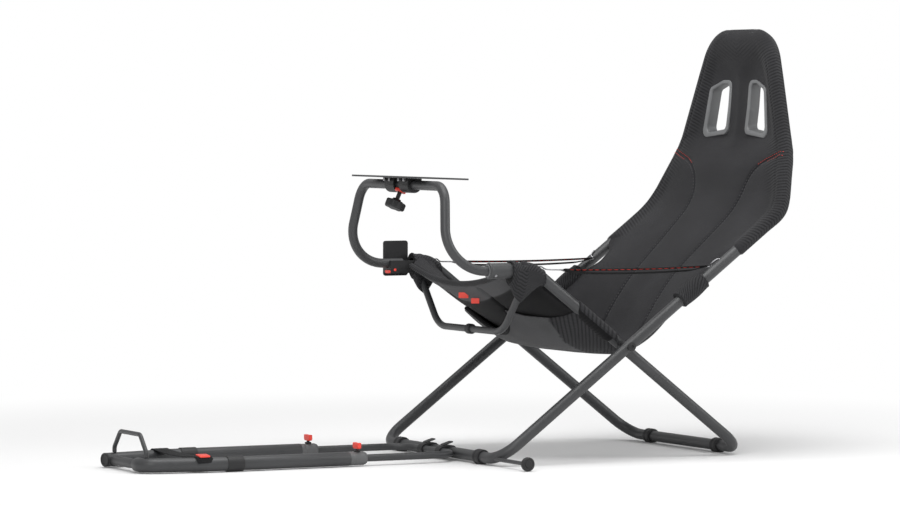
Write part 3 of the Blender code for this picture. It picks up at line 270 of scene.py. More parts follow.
def carried_frames(path, first=None):
    """Two unit vectors across each point of a path, turned from point to point only to stay square to it."""
    along = unit(np.gradient(path, axis=0))
    start = np.eye(3)[np.argmin(np.abs(along[0]))] if first is None else np.asarray(first, float)
    across = [unit(start - along[0] * (start @ along[0]))]
    for here in along[1:]:
        across.append(unit(across[-1] - here * (across[-1] @ here)))
    across = np.array(across)
    return across, np.cross(along, across)


def mirrored(points):
    """The points on the other side of the middle plane: (-x, y, z)."""
    return np.asarray(points, float) * (-1.0, 1.0, 1.0)


def both_sides(points):
    """Points of a line from the left to near the middle, then their mirror images on to the right."""
    return np.concatenate([np.asarray(points, float), mirrored(points)[::-1]])


# Meshes.


def cell_corners(g):
    """The four corners of each cell of a grid of values, in turn."""
    return np.stack([g[:-1, :-1], g[:-1, 1:], g[1:, 1:], g[1:, :-1]], axis=2)


def grid_quads(rows, cols, wrap_rows, wrap_cols):
    """Corner numbers of the cells of a grid, closed on itself where asked."""
    index = np.arange(rows * cols).reshape(rows, cols)
    if wrap_rows:
        index = np.concatenate([index, index[:1]])
    if wrap_cols:
        index = np.concatenate([index, index[:, :1]], axis=1)
    return cell_corners(index).reshape(-1, 4)


def grid_uv(grid, ring):
    """Corner pairs in metres: distance round each row and distance along the mean line."""
    closed = np.concatenate([grid, grid[:, :1]], axis=1)
    closed = np.concatenate([closed, closed[:1]]) if ring else closed
    around = np.cumsum(np.linalg.norm(np.diff(closed, axis=1), axis=-1), axis=1)
    along = np.linalg.norm(np.diff(closed, axis=0), axis=-1).mean(axis=1)
    u = np.concatenate([np.zeros((len(closed), 1)), around], axis=1)
    v = np.broadcast_to(np.concatenate([[0.0], np.cumsum(along)])[:, None], u.shape)
    uv = np.stack([u, v], axis=-1)
    return cell_corners(uv).reshape(-1, 2)


def make_mesh(name, points, quads, caps=(), uv=None, sharp=50.0):
    """Mesh from arrays: quads of corner numbers, caps as end faces, a uv pair for each quad corner."""
    mesh = bpy.data.meshes.new(name)
    mesh.from_pydata((np.asarray(points) + SHIFT).tolist(), [], quads.tolist() + [list(c) for c in caps])
    layer = mesh.uv_layers.new(name="UVMap")
    pairs = np.zeros((len(mesh.loops), 2), np.float32)
    if uv is not None:
        pairs[: len(uv)] = uv
    layer.data.foreach_set("uv", pairs.ravel())
    smooth = np.ones(len(mesh.polygons), bool)
    smooth[len(quads):] = False
    mesh.polygons.foreach_set("use_smooth", smooth)
    work = bmesh.new()
    work.from_mesh(mesh)
    bmesh.ops.recalc_face_normals(work, faces=work.faces)
    work.to_mesh(mesh)
    work.free()
    mesh.set_sharp_from_angle(angle=math.radians(sharp))
    mesh.update()
    return mesh


def grid_mesh(name, grid, ring=False):
    """Mesh of a grid whose rows are closed loops: a ring if the last row joins the first, else capped."""
    rows, cols = grid.shape[:2]
    caps = [] if ring else [range(cols - 1, -1, -1), range((rows - 1) * cols, rows * cols)]
    return make_mesh(name, grid.reshape(-1, 3), grid_quads(rows, cols, ring, True), caps,
                     grid_uv(grid, ring))


def swept(path, profile, scale=1.0, first=None):
    """Profile carried along a path: p(i, j) = path(i) + scale(i) (a(j) across(i) + b(j) up(i))."""
    across, up = carried_frames(path, first)
    section = np.broadcast_to(np.asarray(profile, float), (len(path),) + np.shape(profile)[-2:])
    section = section * np.broadcast_to(scale, len(path))[:, None, None]
    return path[:, None] + section[..., :1] * across[:, None] + section[..., 1:] * up[:, None]


def circle(radius, sides=36):
    """Round profile: radius (cos t, sin t)."""
    t = np.linspace(0.0, 2 * np.pi, sides, endpoint=False)
    return radius * np.column_stack([np.cos(t), np.sin(t)])


def tube_grid(path, radius, sides=36, edge=0.0012):
    """Round tube along a path, its ends eased: radius - edge (1 - sin t) at edge (1 - cos t) from an end."""
    t = np.linspace(0.0, np.pi / 2, 4)[:-1]
    head = unit(path[1] - path[0])
    tail = unit(path[-2] - path[-1])
    lead = path[0] + head * (edge * (1 - np.cos(t)))[:, None]
    close = (path[-1] + tail * (edge * (1 - np.cos(t)))[:, None])[::-1]
    line = np.concatenate([lead, path[:1] + head * edge, path[1:-1], path[-1:] + tail * edge, close])
    shrink = 1 - edge / radius * (1 - np.sin(t))
    scale = np.concatenate([shrink, np.ones(len(path)), shrink[::-1]])
    return swept(line, circle(radius, sides), scale)


def turned_grid(profile, start, direction, sides=40):
    """Surface of revolution: start + a(i) axis + r(i) (cos t across + sin t up)."""
    axis = unit(direction)
    across = unit(np.cross(axis, np.eye(3)[np.argmin(np.abs(axis))]))
    up = np.cross(axis, across)
    p = np.asarray(profile, float)
    t = np.linspace(0.0, 2 * np.pi, sides, endpoint=False)
    ring = np.cos(t)[:, None] * across + np.sin(t)[:, None] * up
    return np.asarray(start, float) + p[:, None, :1] * axis + p[:, None, 1:] * ring


def soft_profile(points, radius=0.0012, step=0.5):
    """Turned profile (a, r) with eased corners."""
    flat = np.column_stack([np.asarray(points, float), np.zeros(len(points))])
    return bent_path(flat, [radius] * (len(points) - 2), step)[:, :2]


def prism_grid(outline, low, high, origin, u_axis, v_axis, edge=0.001):
    """Outline carried from low to high along u x v, its rims rounded.

    A rim is the outline less edge (1 - sin t), at edge (1 - cos t) from its end.
    """
    o = np.asarray(outline, float)
    side = unit(np.roll(o, -1, axis=0) - np.roll(o, 1, axis=0))
    normal = np.column_stack([side[:, 1], -side[:, 0]])
    turn = np.sign(np.sum(o[:, 0] * np.roll(o[:, 1], -1) - np.roll(o[:, 0], -1) * o[:, 1]))
    t = np.linspace(0.0, np.pi / 2, 4)
    rim = edge * (1 - np.sin(t))
    rise = edge * (1 - np.cos(t))
    inset = np.concatenate([rim, rim[::-1]])
    height = np.concatenate([low + rise, (high - rise)[::-1]])
    flat = o - turn * normal * inset[:, None, None]
    u, v = np.asarray(u_axis, float), np.asarray(v_axis, float)
    raised = height[:, None, None] * np.cross(u, v)
    return np.asarray(origin, float) + flat[..., :1] * u + flat[..., 1:] * v + raised


def scattered(name, centres, along, up, template, quads):
    """One mesh of many small copies: centre + a along + b side + c up for each template point (a, b, c)."""
    along = unit(along)
    side = unit(np.cross(up, along))
    up = np.cross(along, side)
    axes = np.stack([along, side, up], axis=1)
    points = centres[:, None] + np.einsum("mk,nkd->nmd", template, axes)
    shift = (np.arange(len(centres)) * len(template))[:, None, None]
    return make_mesh(name, points.reshape(-1, 3), (quads[None] + shift).reshape(-1, 4))


def stitch_mesh(name, line, up, pitch, length, radius):
    """Stitches along a line, pitch apart: round threads bowed up by 0.6 r sin(pi t), with narrow ends."""
    run = run_along(line)
    at = np.arange(pitch / 2, run[-1] - pitch / 2, pitch)
    centres = np.column_stack([np.interp(at, run, line[:, k]) for k in range(3)])
    ahead = np.column_stack([np.interp(at + length / 4, run, line[:, k]) for k in range(3)]) - centres
    lift = np.column_stack([np.interp(at, run, up[:, k]) for k in range(3)])
    t = np.linspace(0.0, 1.0, 6)[:, None]
    a = np.linspace(0.0, 2 * np.pi, 6, endpoint=False)[None]
    thick = radius * (0.08 + 0.92 * np.sin(np.pi * t) ** 0.5)
    bow = 0.6 * radius * np.sin(np.pi * t)
    grid = np.stack([(t - 0.5) * length + 0 * a, thick * np.cos(a), thick * np.sin(a) + bow], axis=-1)
    return scattered(name, centres, ahead, lift, grid.reshape(-1, 3), grid_quads(6, 6, False, True))


def add_piece(name, mesh, material, body, nodes=()):
    """Puts a mesh in the scene at the origin with its finish; it rides on a CAD body in place of nodes."""
    piece = bpy.data.objects.new(name, mesh)
    bpy.context.scene.collection.objects.link(piece)
    mesh.materials.append(material)
    if body:
        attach(piece, body)
    if nodes:
        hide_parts(*nodes)
    return piece


def add_grid(name, grid, finish, body, nodes=(), ring=False):
    """Adds a piece made of a grid of points."""
    return add_piece(name, grid_mesh(name, grid, ring), finish_for(finish), body, nodes)


# Materials.


def add_node(tree, kind, inputs=None, **props):
    """Adds a node, sets its properties, and fills or links its inputs by name or number."""
    made = tree.nodes.new(kind)
    for key, value in props.items():
        setattr(made, key, value)
    for key, value in (inputs or {}).items():
        if isinstance(value, bpy.types.NodeSocket):
            tree.links.new(value, made.inputs[key])
        else:
            made.inputs[key].default_value = value
    return made


def calc(tree, operation, a, b=0.0, c=0.0):
    """One step of arithmetic on values or sockets."""
    return add_node(tree, "ShaderNodeMath", {0: a, 1: b, 2: c}, operation=operation).outputs[0]


def new_group(name, inputs, outputs):
    """Empty shader node group with the named sockets; gives the tree, its inputs and its output node."""
    tree = bpy.data.node_groups.new(name, "ShaderNodeTree")
    for label, kind in inputs:
        tree.interface.new_socket(label, in_out="INPUT", socket_type=kind)
    for label, kind in outputs:
        tree.interface.new_socket(label, in_out="OUTPUT", socket_type=kind)
    return tree, tree.nodes.new("NodeGroupInput").outputs, tree.nodes.new("NodeGroupOutput")


VECTOR, NUMBER = "NodeSocketVector", "NodeSocketFloat"
CLOTH_INPUTS = [("Vector", VECTOR), ("Pitch", NUMBER)]
CLOTH_OUTPUTS = [("Height", NUMBER), ("Shade", NUMBER)]
LINING_COARSENESS = 1.6
RIB_STRETCH = (0.42, 1.0, 1.0)


def grain_group():
    """Fine two-scale grain: a height, and a slow tint between 0.85 and 1.15."""
    tree, given, out = new_group("Fine Grain", [("Vector", VECTOR), ("Scale", NUMBER)],
                                 [("Height", NUMBER), ("Tint", NUMBER)])
    fine = add_node(tree, "ShaderNodeTexNoise",
                    {"Vector": given["Vector"], "Scale": given["Scale"], "Detail": 3.0})
    slow = add_node(tree, "ShaderNodeTexNoise", {"Vector": given["Vector"], "Scale": 9.0, "Detail": 4.0})
    tint = add_node(tree, "ShaderNodeMapRange", {
        "Value": slow.outputs[0], "From Min": 0.3, "From Max": 0.7, "To Min": 0.85, "To Max": 1.15})
    tree.links.new(fine.outputs[0], out.inputs["Height"])
    tree.links.new(tint.outputs[0], out.inputs["Tint"])
    return tree


def weave_group():
    """Plain weave: 0.5 + 0.5 sin(2 pi x / pitch) sin(2 pi y / pitch), roughened by a little noise."""
    tree, given, out = new_group("Thread Weave", CLOTH_INPUTS, CLOTH_OUTPUTS)
    split = add_node(tree, "ShaderNodeSeparateXYZ", {0: given["Vector"]}).outputs
    turn = calc(tree, "DIVIDE", 6.28318, given["Pitch"])
    a = calc(tree, "SINE", calc(tree, "MULTIPLY", split[0], turn))
    b = calc(tree, "SINE", calc(tree, "MULTIPLY", split[1], turn))
    cross = calc(tree, "MULTIPLY_ADD", calc(tree, "MULTIPLY", a, b), 0.5, 0.5)
    noise = add_node(tree, "ShaderNodeTexNoise",
                     {"Vector": given["Vector"], "Scale": 420.0, "Detail": 2.0}).outputs[0]
    height = calc(tree, "MULTIPLY_ADD", noise, 0.5, cross)
    shade = add_node(tree, "ShaderNodeMapRange",
                     {"Value": height, "From Min": 0.2, "From Max": 1.3, "To Min": 0.72, "To Max": 1.22})
    tree.links.new(height, out.inputs["Height"])
    tree.links.new(shade.outputs[0], out.inputs["Shade"])
    return tree


def rib_group():
    """Ribbed mesh: |sin| ribs across the diagonal (x + y), notched along the other diagonal (x - y)."""
    tree, given, out = new_group("Diagonal Ribs", CLOTH_INPUTS, CLOTH_OUTPUTS)
    split = add_node(tree, "ShaderNodeSeparateXYZ", {0: given["Vector"]}).outputs
    turn = calc(tree, "DIVIDE", 2.2214, given["Pitch"])
    across, along = calc(tree, "ADD", split[0], split[1]), calc(tree, "SUBTRACT", split[0], split[1])
    rib = calc(tree, "ABSOLUTE", calc(tree, "SINE", calc(tree, "MULTIPLY", across, turn)))
    notch = calc(tree, "SINE", calc(tree, "MULTIPLY", along, calc(tree, "MULTIPLY", turn, 5.0)))
    height = calc(tree, "MULTIPLY", calc(tree, "POWER", rib, 0.7),
                  calc(tree, "MULTIPLY_ADD", notch, 0.06, 0.94))
    shade = add_node(tree, "ShaderNodeMapRange", {"Value": height, "To Min": 0.25, "To Max": 1.32})
    tree.links.new(height, out.inputs["Height"])
    tree.links.new(shade.outputs[0], out.inputs["Shade"])
    return tree


def scuff_group():
    """Sparse light rubs: a stretched noise kept only above a high level."""
    tree, given, out = new_group("Scuffs", [("Vector", VECTOR), ("Scale", NUMBER)], [("Mask", NUMBER)])
    noise = add_node(tree, "ShaderNodeTexNoise", {
        "Vector": given["Vector"], "Scale": given["Scale"], "Detail": 6.0, "Distortion": 0.6})
    mask = add_node(tree, "ShaderNodeMapRange",
                    {"Value": noise.outputs[0], "From Min": 0.62, "From Max": 0.74, "To Max": 0.6})
    tree.links.new(mask.outputs[0], out.inputs["Mask"])
    return tree


GROUPS = {"grain": grain_group, "weave": weave_group, "rib": rib_group, "scuff": scuff_group}


def use_group(tree, key, inputs):
    """A node that holds one of the shared groups, which is made the first time it is asked for."""
    if not isinstance(GROUPS[key], bpy.types.NodeTree):
        GROUPS[key] = GROUPS[key]()
    return add_node(tree, "ShaderNodeGroup", inputs, node_tree=GROUPS[key]).outputs


def start_material(name, constants):
    """Material with one Principled shader whose plain inputs are constants, its tree and its shader."""
    material = bpy.data.materials.new(name)
    material.use_nodes = True
    shader = material.node_tree.nodes["Principled BSDF"]
    for key, value in constants.items():
        shader.inputs[key].default_value = value
    return material, material.node_tree, shader


def tinted(tree, colour, *factors):
    """Colour times each factor."""
    result = (*colour, 1.0)
    for factor in factors:
        grey = add_node(tree, "ShaderNodeCombineColor", {0: factor, 1: factor, 2: factor}).outputs[0]
        sides = {0: 1.0, 6: result, 7: grey}
        result = add_node(tree, "ShaderNodeMix", sides, data_type="RGBA", blend_type="MULTIPLY").outputs[2]
    return result


def bumped(tree, shader, height, distance, strength=0.6):
    """Feeds a height to the shader's normal, in metres."""
    bump = add_node(tree, "ShaderNodeBump", {"Height": height, "Distance": distance, "Strength": strength})
    tree.links.new(bump.outputs[0], shader.inputs["Normal"])


def painted_material(name, colour, roughness, grain=900.0, peel=0.00012, scuff=0.35, metallic=0.0):
    """Hard finish: slow tint, orange peel, and a few rubs that lighten and dull it."""
    material, tree, shader = start_material(name, {"Specular IOR Level": 0.5, "Metallic": metallic})
    place = add_node(tree, "ShaderNodeTexCoord").outputs["Object"]
    fine = use_group(tree, "grain", {"Vector": place, "Scale": grain})
    rub = use_group(tree, "scuff", {"Vector": place, "Scale": 38.0})["Mask"]
    lift = calc(tree, "MULTIPLY_ADD", rub, scuff, 1.0)
    tree.links.new(tinted(tree, colour, fine["Tint"], lift), shader.inputs["Base Color"])
    dull = calc(tree, "MULTIPLY_ADD", fine["Height"], 0.16, roughness - 0.08)
    tree.links.new(calc(tree, "MULTIPLY_ADD", rub, 0.2, dull), shader.inputs["Roughness"])
    bumped(tree, shader, fine["Height"], peel)
    return material


def cloth_material(name, colour, pattern, pitch, depth, sheen=0.35, roughness=0.85):
    """Woven or ribbed cloth in the piece's own metres: a pattern shades and raises it, under a slow tint."""
    material, tree, shader = start_material(name, {
        "Sheen Weight": sheen * 0.2, "Sheen Roughness": 0.45, "Roughness": roughness,
        "Specular IOR Level": 0.18})
    coords = add_node(tree, "ShaderNodeTexCoord").outputs
    cloth = use_group(tree, pattern, {"Vector": coords["UV"], "Pitch": pitch})
    fine = use_group(tree, "grain", {"Vector": coords["Object"], "Scale": 700.0})
    tree.links.new(tinted(tree, colour, cloth["Shade"], fine["Tint"]), shader.inputs["Base Color"])
    bumped(tree, shader, calc(tree, "MULTIPLY_ADD", fine["Height"], 0.2, cloth["Height"]), depth, 0.8)
    return material


def sling_material(name, look, cloth):
    """Seat cloth by zone colour: knit at black, ribs at red, grey lining at green, painted shade at blue."""
    material, tree, shader = start_material(name, {
        "Sheen Weight": 0.06, "Sheen Roughness": 0.5, "Roughness": 0.86, "Specular IOR Level": 0.15})
    coords = add_node(tree, "ShaderNodeTexCoord").outputs
    zone = add_node(tree, "ShaderNodeAttribute", attribute_name="zone",
                    attribute_type="GEOMETRY").outputs["Color"]
    masks = add_node(tree, "ShaderNodeSeparateColor", {0: zone}).outputs
    knit = use_group(tree, "weave", {"Vector": coords["UV"], "Pitch": cloth.weave_pitch})
    lying = add_node(tree, "ShaderNodeVectorMath", {0: coords["UV"], 1: RIB_STRETCH},
                     operation="MULTIPLY").outputs[0]
    rib = use_group(tree, "rib", {"Vector": lying, "Pitch": cloth.rib_pitch})
    lining = use_group(tree, "weave",
                       {"Vector": coords["UV"], "Pitch": cloth.weave_pitch * LINING_COARSENESS})
    fine = use_group(tree, "grain", {"Vector": coords["Object"], "Scale": 600.0})
    colour = tinted(tree, look.fabric, knit["Shade"], fine["Tint"])
    rib_face = tinted(tree, look.mesh, rib["Shade"], fine["Tint"])
    lining_face = tinted(tree, look.lining, lining["Shade"], fine["Tint"])
    height = calc(tree, "MULTIPLY", knit["Height"], 0.35)
    lining_height = calc(tree, "MULTIPLY", lining["Height"], 0.4)
    for mask, face, rise in ((masks[0], rib_face, rib["Height"]), (masks[1], lining_face, lining_height)):
        colour = add_node(tree, "ShaderNodeMix", {0: mask, 6: colour, 7: face},
                          data_type="RGBA").outputs[2]
        height = add_node(tree, "ShaderNodeMix", {0: mask, 2: height, 3: rise},
                          data_type="FLOAT").outputs[0]
    # Painted shade: the blue zone darkens the colour by up to 0.7 where the seat's underside lies in shadow.
    painted_shade = calc(tree, "MULTIPLY_ADD", masks[2], -0.7, 1.0)
    grey = add_node(tree, "ShaderNodeCombineColor", {0: painted_shade, 1: painted_shade, 2: painted_shade}).outputs[0]
    mix = add_node(tree, "ShaderNodeMix", {0: 1.0, 6: colour, 7: grey}, data_type="RGBA",
                   blend_type="MULTIPLY")
    tree.links.new(mix.outputs[2], shader.inputs["Base Color"])
    bumped(tree, shader, height, 0.0014, 0.8)
    return material


MATERIALS = {}


def finish_for(key):
    """The named finish, made from the panel's colours the first time it is asked for."""
    if key not in MATERIALS:
        look, cloth = bpy.context.scene.racing_seat_look, bpy.context.scene.racing_seat_cloth
        makers = {
            "tube": lambda: painted_material("tube_paint", look.tube, 0.42),
            "black": lambda: painted_material("black_plastic", look.plastic, 0.55, grain=1500.0,
                                              peel=0.0002),
            "light": lambda: painted_material("light_collar", look.collar, 0.5, grain=1500.0, peel=0.0002),
            "bezel": lambda: painted_material("bezel_plastic", look.bezel, 0.45, grain=1500.0,
                                              peel=0.00015),
            "red": lambda: painted_material("red_plastic", look.red, 0.42, grain=1200.0, peel=0.0001,
                                            scuff=0.1),
            "steel": lambda: painted_material("bolt_steel", look.steel, 0.34, grain=1200.0, peel=0.00005,
                                              metallic=1.0),
            "plate": lambda: painted_material("plate_paint", look.tube, 0.5),
            "sling": lambda: sling_material("seat_fabric", look, cloth),
            "mesh": lambda: cloth_material("side_mesh", look.mesh, "rib", cloth.rib_pitch, 0.0012),
            "webbing": lambda: cloth_material("webbing", look.webbing, "weave", 0.0026, 0.0006, 0.2),
            "thread": lambda: cloth_material("red_thread", look.thread, "weave", 0.0008, 0.0001, 0.2),
            "grey_thread": lambda: cloth_material("grey_thread", look.grey_thread, "weave", 0.0008, 0.0001,
                                                  0.2),
        }
        MATERIALS[key] = makers[key]()
    return MATERIALS[key]


def colour_setting(name, description, default):
    """Colour shown in the panel, as linear red, green and blue."""
    return FloatVectorProperty(name=name, description=description, subtype="COLOR", default=default)


def length_setting(name, description, default):
    """Length shown in the panel, in metres."""
    return FloatProperty(name=name, description=description, default=default, unit="LENGTH")


class RacingSeatLook(bpy.types.PropertyGroup):
    """Colours of the finishes, as linear red, green and blue."""

    tube: colour_setting("Tube paint", "Powder coat of the frame", (0.042, 0.043, 0.045))
    plastic: colour_setting("Black plastic", "Feet, caps and clamps", (0.013, 0.013, 0.014))
    # The collar grey also colours the vent walls, where its darkness is painted shade.
    collar: colour_setting("Collar grey", "Collars on the rails and the bar socket", (0.10, 0.102, 0.104))
    bezel: colour_setting("Vent grey", "Frames of the headrest vents", (0.165, 0.168, 0.172))
    red: colour_setting("Red plastic", "Lock ring and latch", (0.78, 0.055, 0.035))
    steel: colour_setting("Steel", "Bolts and rods", (0.36, 0.36, 0.37))
    fabric: colour_setting("Fabric", "Face of the sling", (0.0265, 0.0262, 0.0285))
    mesh: colour_setting("Rib mesh", "Ribbed mesh of the sides and pockets", (0.028, 0.028, 0.030))
    lining: colour_setting("Lining", "Grey cloth under the seat", (0.082, 0.082, 0.085))
    webbing: colour_setting("Webbing", "Side and heel straps", (0.011, 0.011, 0.012))
    thread: colour_setting("Red thread", "Stitching at the neck and on the straps", (0.62, 0.07, 0.055))
    grey_thread: colour_setting("Grey thread", "Stitching along the seams", (0.11, 0.11, 0.115))


class RacingSeatCloth(bpy.types.PropertyGroup):
    """Sizes of the cloth's weave, seams and padding."""

    weave_pitch: length_setting("Weave pitch", "Length of one repeat of the knit", 0.0021)
    rib_pitch: length_setting("Rib pitch", "Distance from rib to rib of the mesh", 0.0060)
    crown: length_setting("Panel crown", "Rise of a padded panel between its seams", 0.0045)
    seam_depth: length_setting("Seam depth", "How far a seam pulls the face in", 0.0042)
    stitch_pitch: length_setting("Stitch pitch", "Distance from stitch to stitch", 0.0082)


# Lines of the frame.


def hoop_line():
    """Half of the back hoop from the end of its straight run up to the middle of its crown."""
    below = np.array((0.0, -math.cos(BACK_ANGLE), -math.sin(BACK_ANGLE)))
    above = np.array(NECK) - np.array(SHOULDER)
    turn = math.pi - math.acos(float(below @ unit(above)))
    reach = HOOP_BENDS[0] * math.tan(turn / 2) + 0.012
    start = (BACK_HALF, *back_line(SHOULDER_RUN - reach))
    whole = bent_path([start, SHOULDER, NECK, CROWN, mirrored(CROWN)], HOOP_BENDS)
    half = whole[whole[:, 0] > 1e-6]
    return np.concatenate([half, [[0.0, CROWN[1], CROWN[2]]]]), reach


HOOP, HOOP_REACH = hoop_line()


class FrameTubes(bpy.types.Operator):
    """Bent tubes of the back frame, the seat frame and the brace"""

    bl_idname = "racing_seat.frame_tubes"
    bl_label = "Frame tubes"

    def execute(self, context):
        top = (BACK_HALF, *back_line(SHOULDER_RUN - HOOP_REACH))
        foot = (BACK_HALF, FRONT_Y, BASE_Z)
        legs = bent_path([top, foot, mirrored(foot), mirrored(top)], [LEG_BEND] * 2)
        add_grid("back_legs", tube_grid(legs, TUBE_R), "tube", "back_frame",
                 ("left_front_leg", "right_front_leg", "front_cross_tube"))
        hoop = np.concatenate([HOOP, mirrored(HOOP)[-2::-1]])
        add_grid("hoop_tube", tube_grid(hoop, TUBE_R), "tube", "back_frame", ("back_hoop",))
        knee = (SEAT_HALF, KNEE_Y, KNEE_Z)
        heel = (SEAT_HALF, REAR_Y, BASE_Z)
        seat = bent_path([(SEAT_HALF, LEFT_TUBE_END_Y, KNEE_Z), knee, heel, mirrored(heel), mirrored(knee),
                          (-SEAT_HALF, RIGHT_TUBE_END_Y, KNEE_Z)],
                         [KNEE_BEND, LEG_BEND, LEG_BEND, KNEE_BEND])
        add_grid("seat_legs", tube_grid(seat, TUBE_R), "tube", "seat_frame",
                 ("left_rear_leg", "right_rear_leg", "rear_cross_tube"))
        ends = [(SEAT_HALF, -0.252, 0.428), (SEAT_HALF, -0.252, 0.411), (BRACE_HALF, BRACE_Y, BRACE_Z)]
        brace = bent_path(both_sides(ends), [0.024, 0.080, 0.080, 0.024])
        add_grid("seat_brace", tube_grid(brace, BRACE_R, 28), "tube", "seat_frame",
                 ("left_seat_brace", "right_seat_brace"))
        ring = soft_profile([(-0.010, 0.0081), (-0.010, 0.0112), (-0.0075, 0.012), (0.0075, 0.012),
                             (0.010, 0.0112), (0.010, 0.0081)], 0.0006)
        add_grid("brace_ring", turned_grid(ring, (0, BRACE_Y, BRACE_Z), (1, 0, 0)), "black", "seat_frame",
                 ("brace_coupler",), ring=True)
        return {"FINISHED"}


class Feet(bpy.types.Operator):
    """Foot sleeves with flat soles, pivot bolts and the spacers between the frames"""

    bl_idname = "racing_seat.feet"
    bl_label = "Feet and pivots"

    def execute(self, context):
        sleeve = soft_profile([(-0.014, 0.0128), (-0.014, 0.0166), (-0.0105, 0.0175), (-0.004, 0.0175),
                               (-0.003, 0.0169), (0.003, 0.0169), (0.004, 0.0175), (0.0105, 0.0175),
                               (0.014, 0.0166), (0.014, 0.0128)], 0.0007)
        for place, y, reach, body in (("front", FRONT_Y, FRONT_FOOT_X, "back_frame"),
                                      ("rear", REAR_Y, REAR_FOOT_X, "seat_frame")):
            for side, sign in SIDES:
                grid = turned_grid(sleeve, (sign * reach, y, BASE_Z), (1, 0, 0), 64)
                grid[..., 2] = np.maximum(grid[..., 2], 0.0)
                name = f"{side}_{place}_foot_sleeve"
                add_grid(name, grid, "black", body, (f"{side}_{place}_foot",), ring=True)
        pin = soft_profile([(0.2448, 0.0001), (0.2448, 0.0066), (0.2458, 0.0075), (0.2488, 0.0075),
                            (0.2488, 0.0040), (0.311, 0.0040), (0.311, 0.0105), (0.3138, 0.0105),
                            (0.3152, 0.0092), (0.3152, 0.0062), (0.3158, 0.0056), (0.3158, 0.0036),
                            (0.3140, 0.0030), (0.3140, 0.0001)], 0.0004)
        spacer = soft_profile([(0.2748, 0.0045), (0.2748, 0.0094), (0.2757, 0.0100), (0.2842, 0.0100),
                               (0.2850, 0.0094), (0.2850, 0.0045)], 0.0004)
        for side, sign in SIDES:
            spot, way = (0, 0, PIVOT_Z), (sign, 0, 0)
            add_grid(f"{side}_pivot_bolt", turned_grid(pin, spot, way), "black", "back_frame",
                     (f"{side}_pivot_pin",))
            add_grid(f"{side}_spacer_ring", turned_grid(spacer, spot, way), "black", "seat_frame",
                     (f"{side}_pivot_spacer",), ring=True)
        return {"FINISHED"}


# The sling.


def hoop_outline():
    """Half outline of the backrest as rows of (x, y, z), from the straight run of the tube to the crown."""
    low = np.array([[BACK_HALF, *back_line(COVER_RUN)]])
    return respaced(np.concatenate([low, HOOP[1:]]), 260)


def sling_tables():
    """Rows of the sling from the seat's front to the crown: run, edge, middle, nominal half width and cut.

    A row's point at distance x from the middle is middle + (edge - middle) (x / nominal)^2.
    """
    seat_edge = smooth_line([(-0.288, 0.443), (-0.2424, 0.441), seat_line(0.144), seat_line(0.0288),
                             (0.017, 0.260)], SEAT_ROWS)
    seat_mid = smooth_line([(-0.288, 0.402), (-0.250, 0.370), (-0.198, 0.333), (-0.081, 0.270),
                            (0.056, 0.246)], SEAT_ROWS)
    low_edge = smooth_line([(0.021, 0.260), back_line(0.1005), back_line(0.201), back_line(0.381)],
                           LOW_ROWS)
    low_mid = smooth_line([(0.060, 0.2450), (0.105, 0.2490), (0.143, 0.2650), (0.1680, 0.3000),
                           (0.1890, 0.3377), (0.2316, 0.4000), (0.2770, 0.4480), (0.3126, 0.4820)],
                          LOW_ROWS)
    side = hoop_outline()
    run = run_along(side[:, 1:])
    rise = np.maximum.accumulate(run + 1e-9 * np.arange(len(run)))
    heading = unit(np.gradient(np.column_stack([side[:, 0], rise]), axis=0))
    heading[-1] = (-1.0, 0.0)
    cut_x, cut_run = side[:, 0] + SLEEVE_R * heading[:, 1], rise - SLEEVE_R * heading[:, 0]
    at = cut_run[-1] * (1 - (1 - np.linspace(0.0, 1.0, HEAD_ROWS)) ** 1.35)
    crown_way = unit(np.array(CROWN[1:]) - np.array(NECK[1:]))
    back_edge = np.column_stack([np.interp(at, rise, side[:, k]) for k in (1, 2)])
    back_edge += np.maximum(at - rise[-1], 0.0)[:, None] * crown_way
    back_half = np.maximum(np.interp(at, rise, side[:, 0]), 0.12)
    back_cut = np.interp(at, np.maximum.accumulate(cut_run), cut_x)
    slope = unit(np.gradient(back_edge, axis=0))
    sag = blurred(np.interp(back_edge[:, 1], [0.49, 0.53, 0.56, 0.60, 0.665, 0.735, 0.88, 0.95],
                            [0.0125, 0.004, -0.004, -0.0035, -0.0025, 0.0145, 0.0145, 0.0]), 6)
    back_mid = back_edge + np.column_stack([slope[:, 1], -slope[:, 0]]) * sag[:, None]
    edge = np.concatenate([seat_edge, low_edge, back_edge])
    middle = np.concatenate([seat_mid, low_mid, back_mid])
    nominal = np.concatenate([np.full(SEAT_ROWS, SEAT_HALF), np.full(LOW_ROWS, BACK_HALF), back_half])
    cut = np.concatenate([np.full(SEAT_ROWS + LOW_ROWS, BACK_HALF + SLEEVE_R), back_cut])
    for line in (edge, middle, nominal):
        line[HIP_ROWS] = blurred(line[HIP_ROWS], 24)
    return (run_along(edge) + run_along(middle)) / 2, edge, middle, nominal, cut


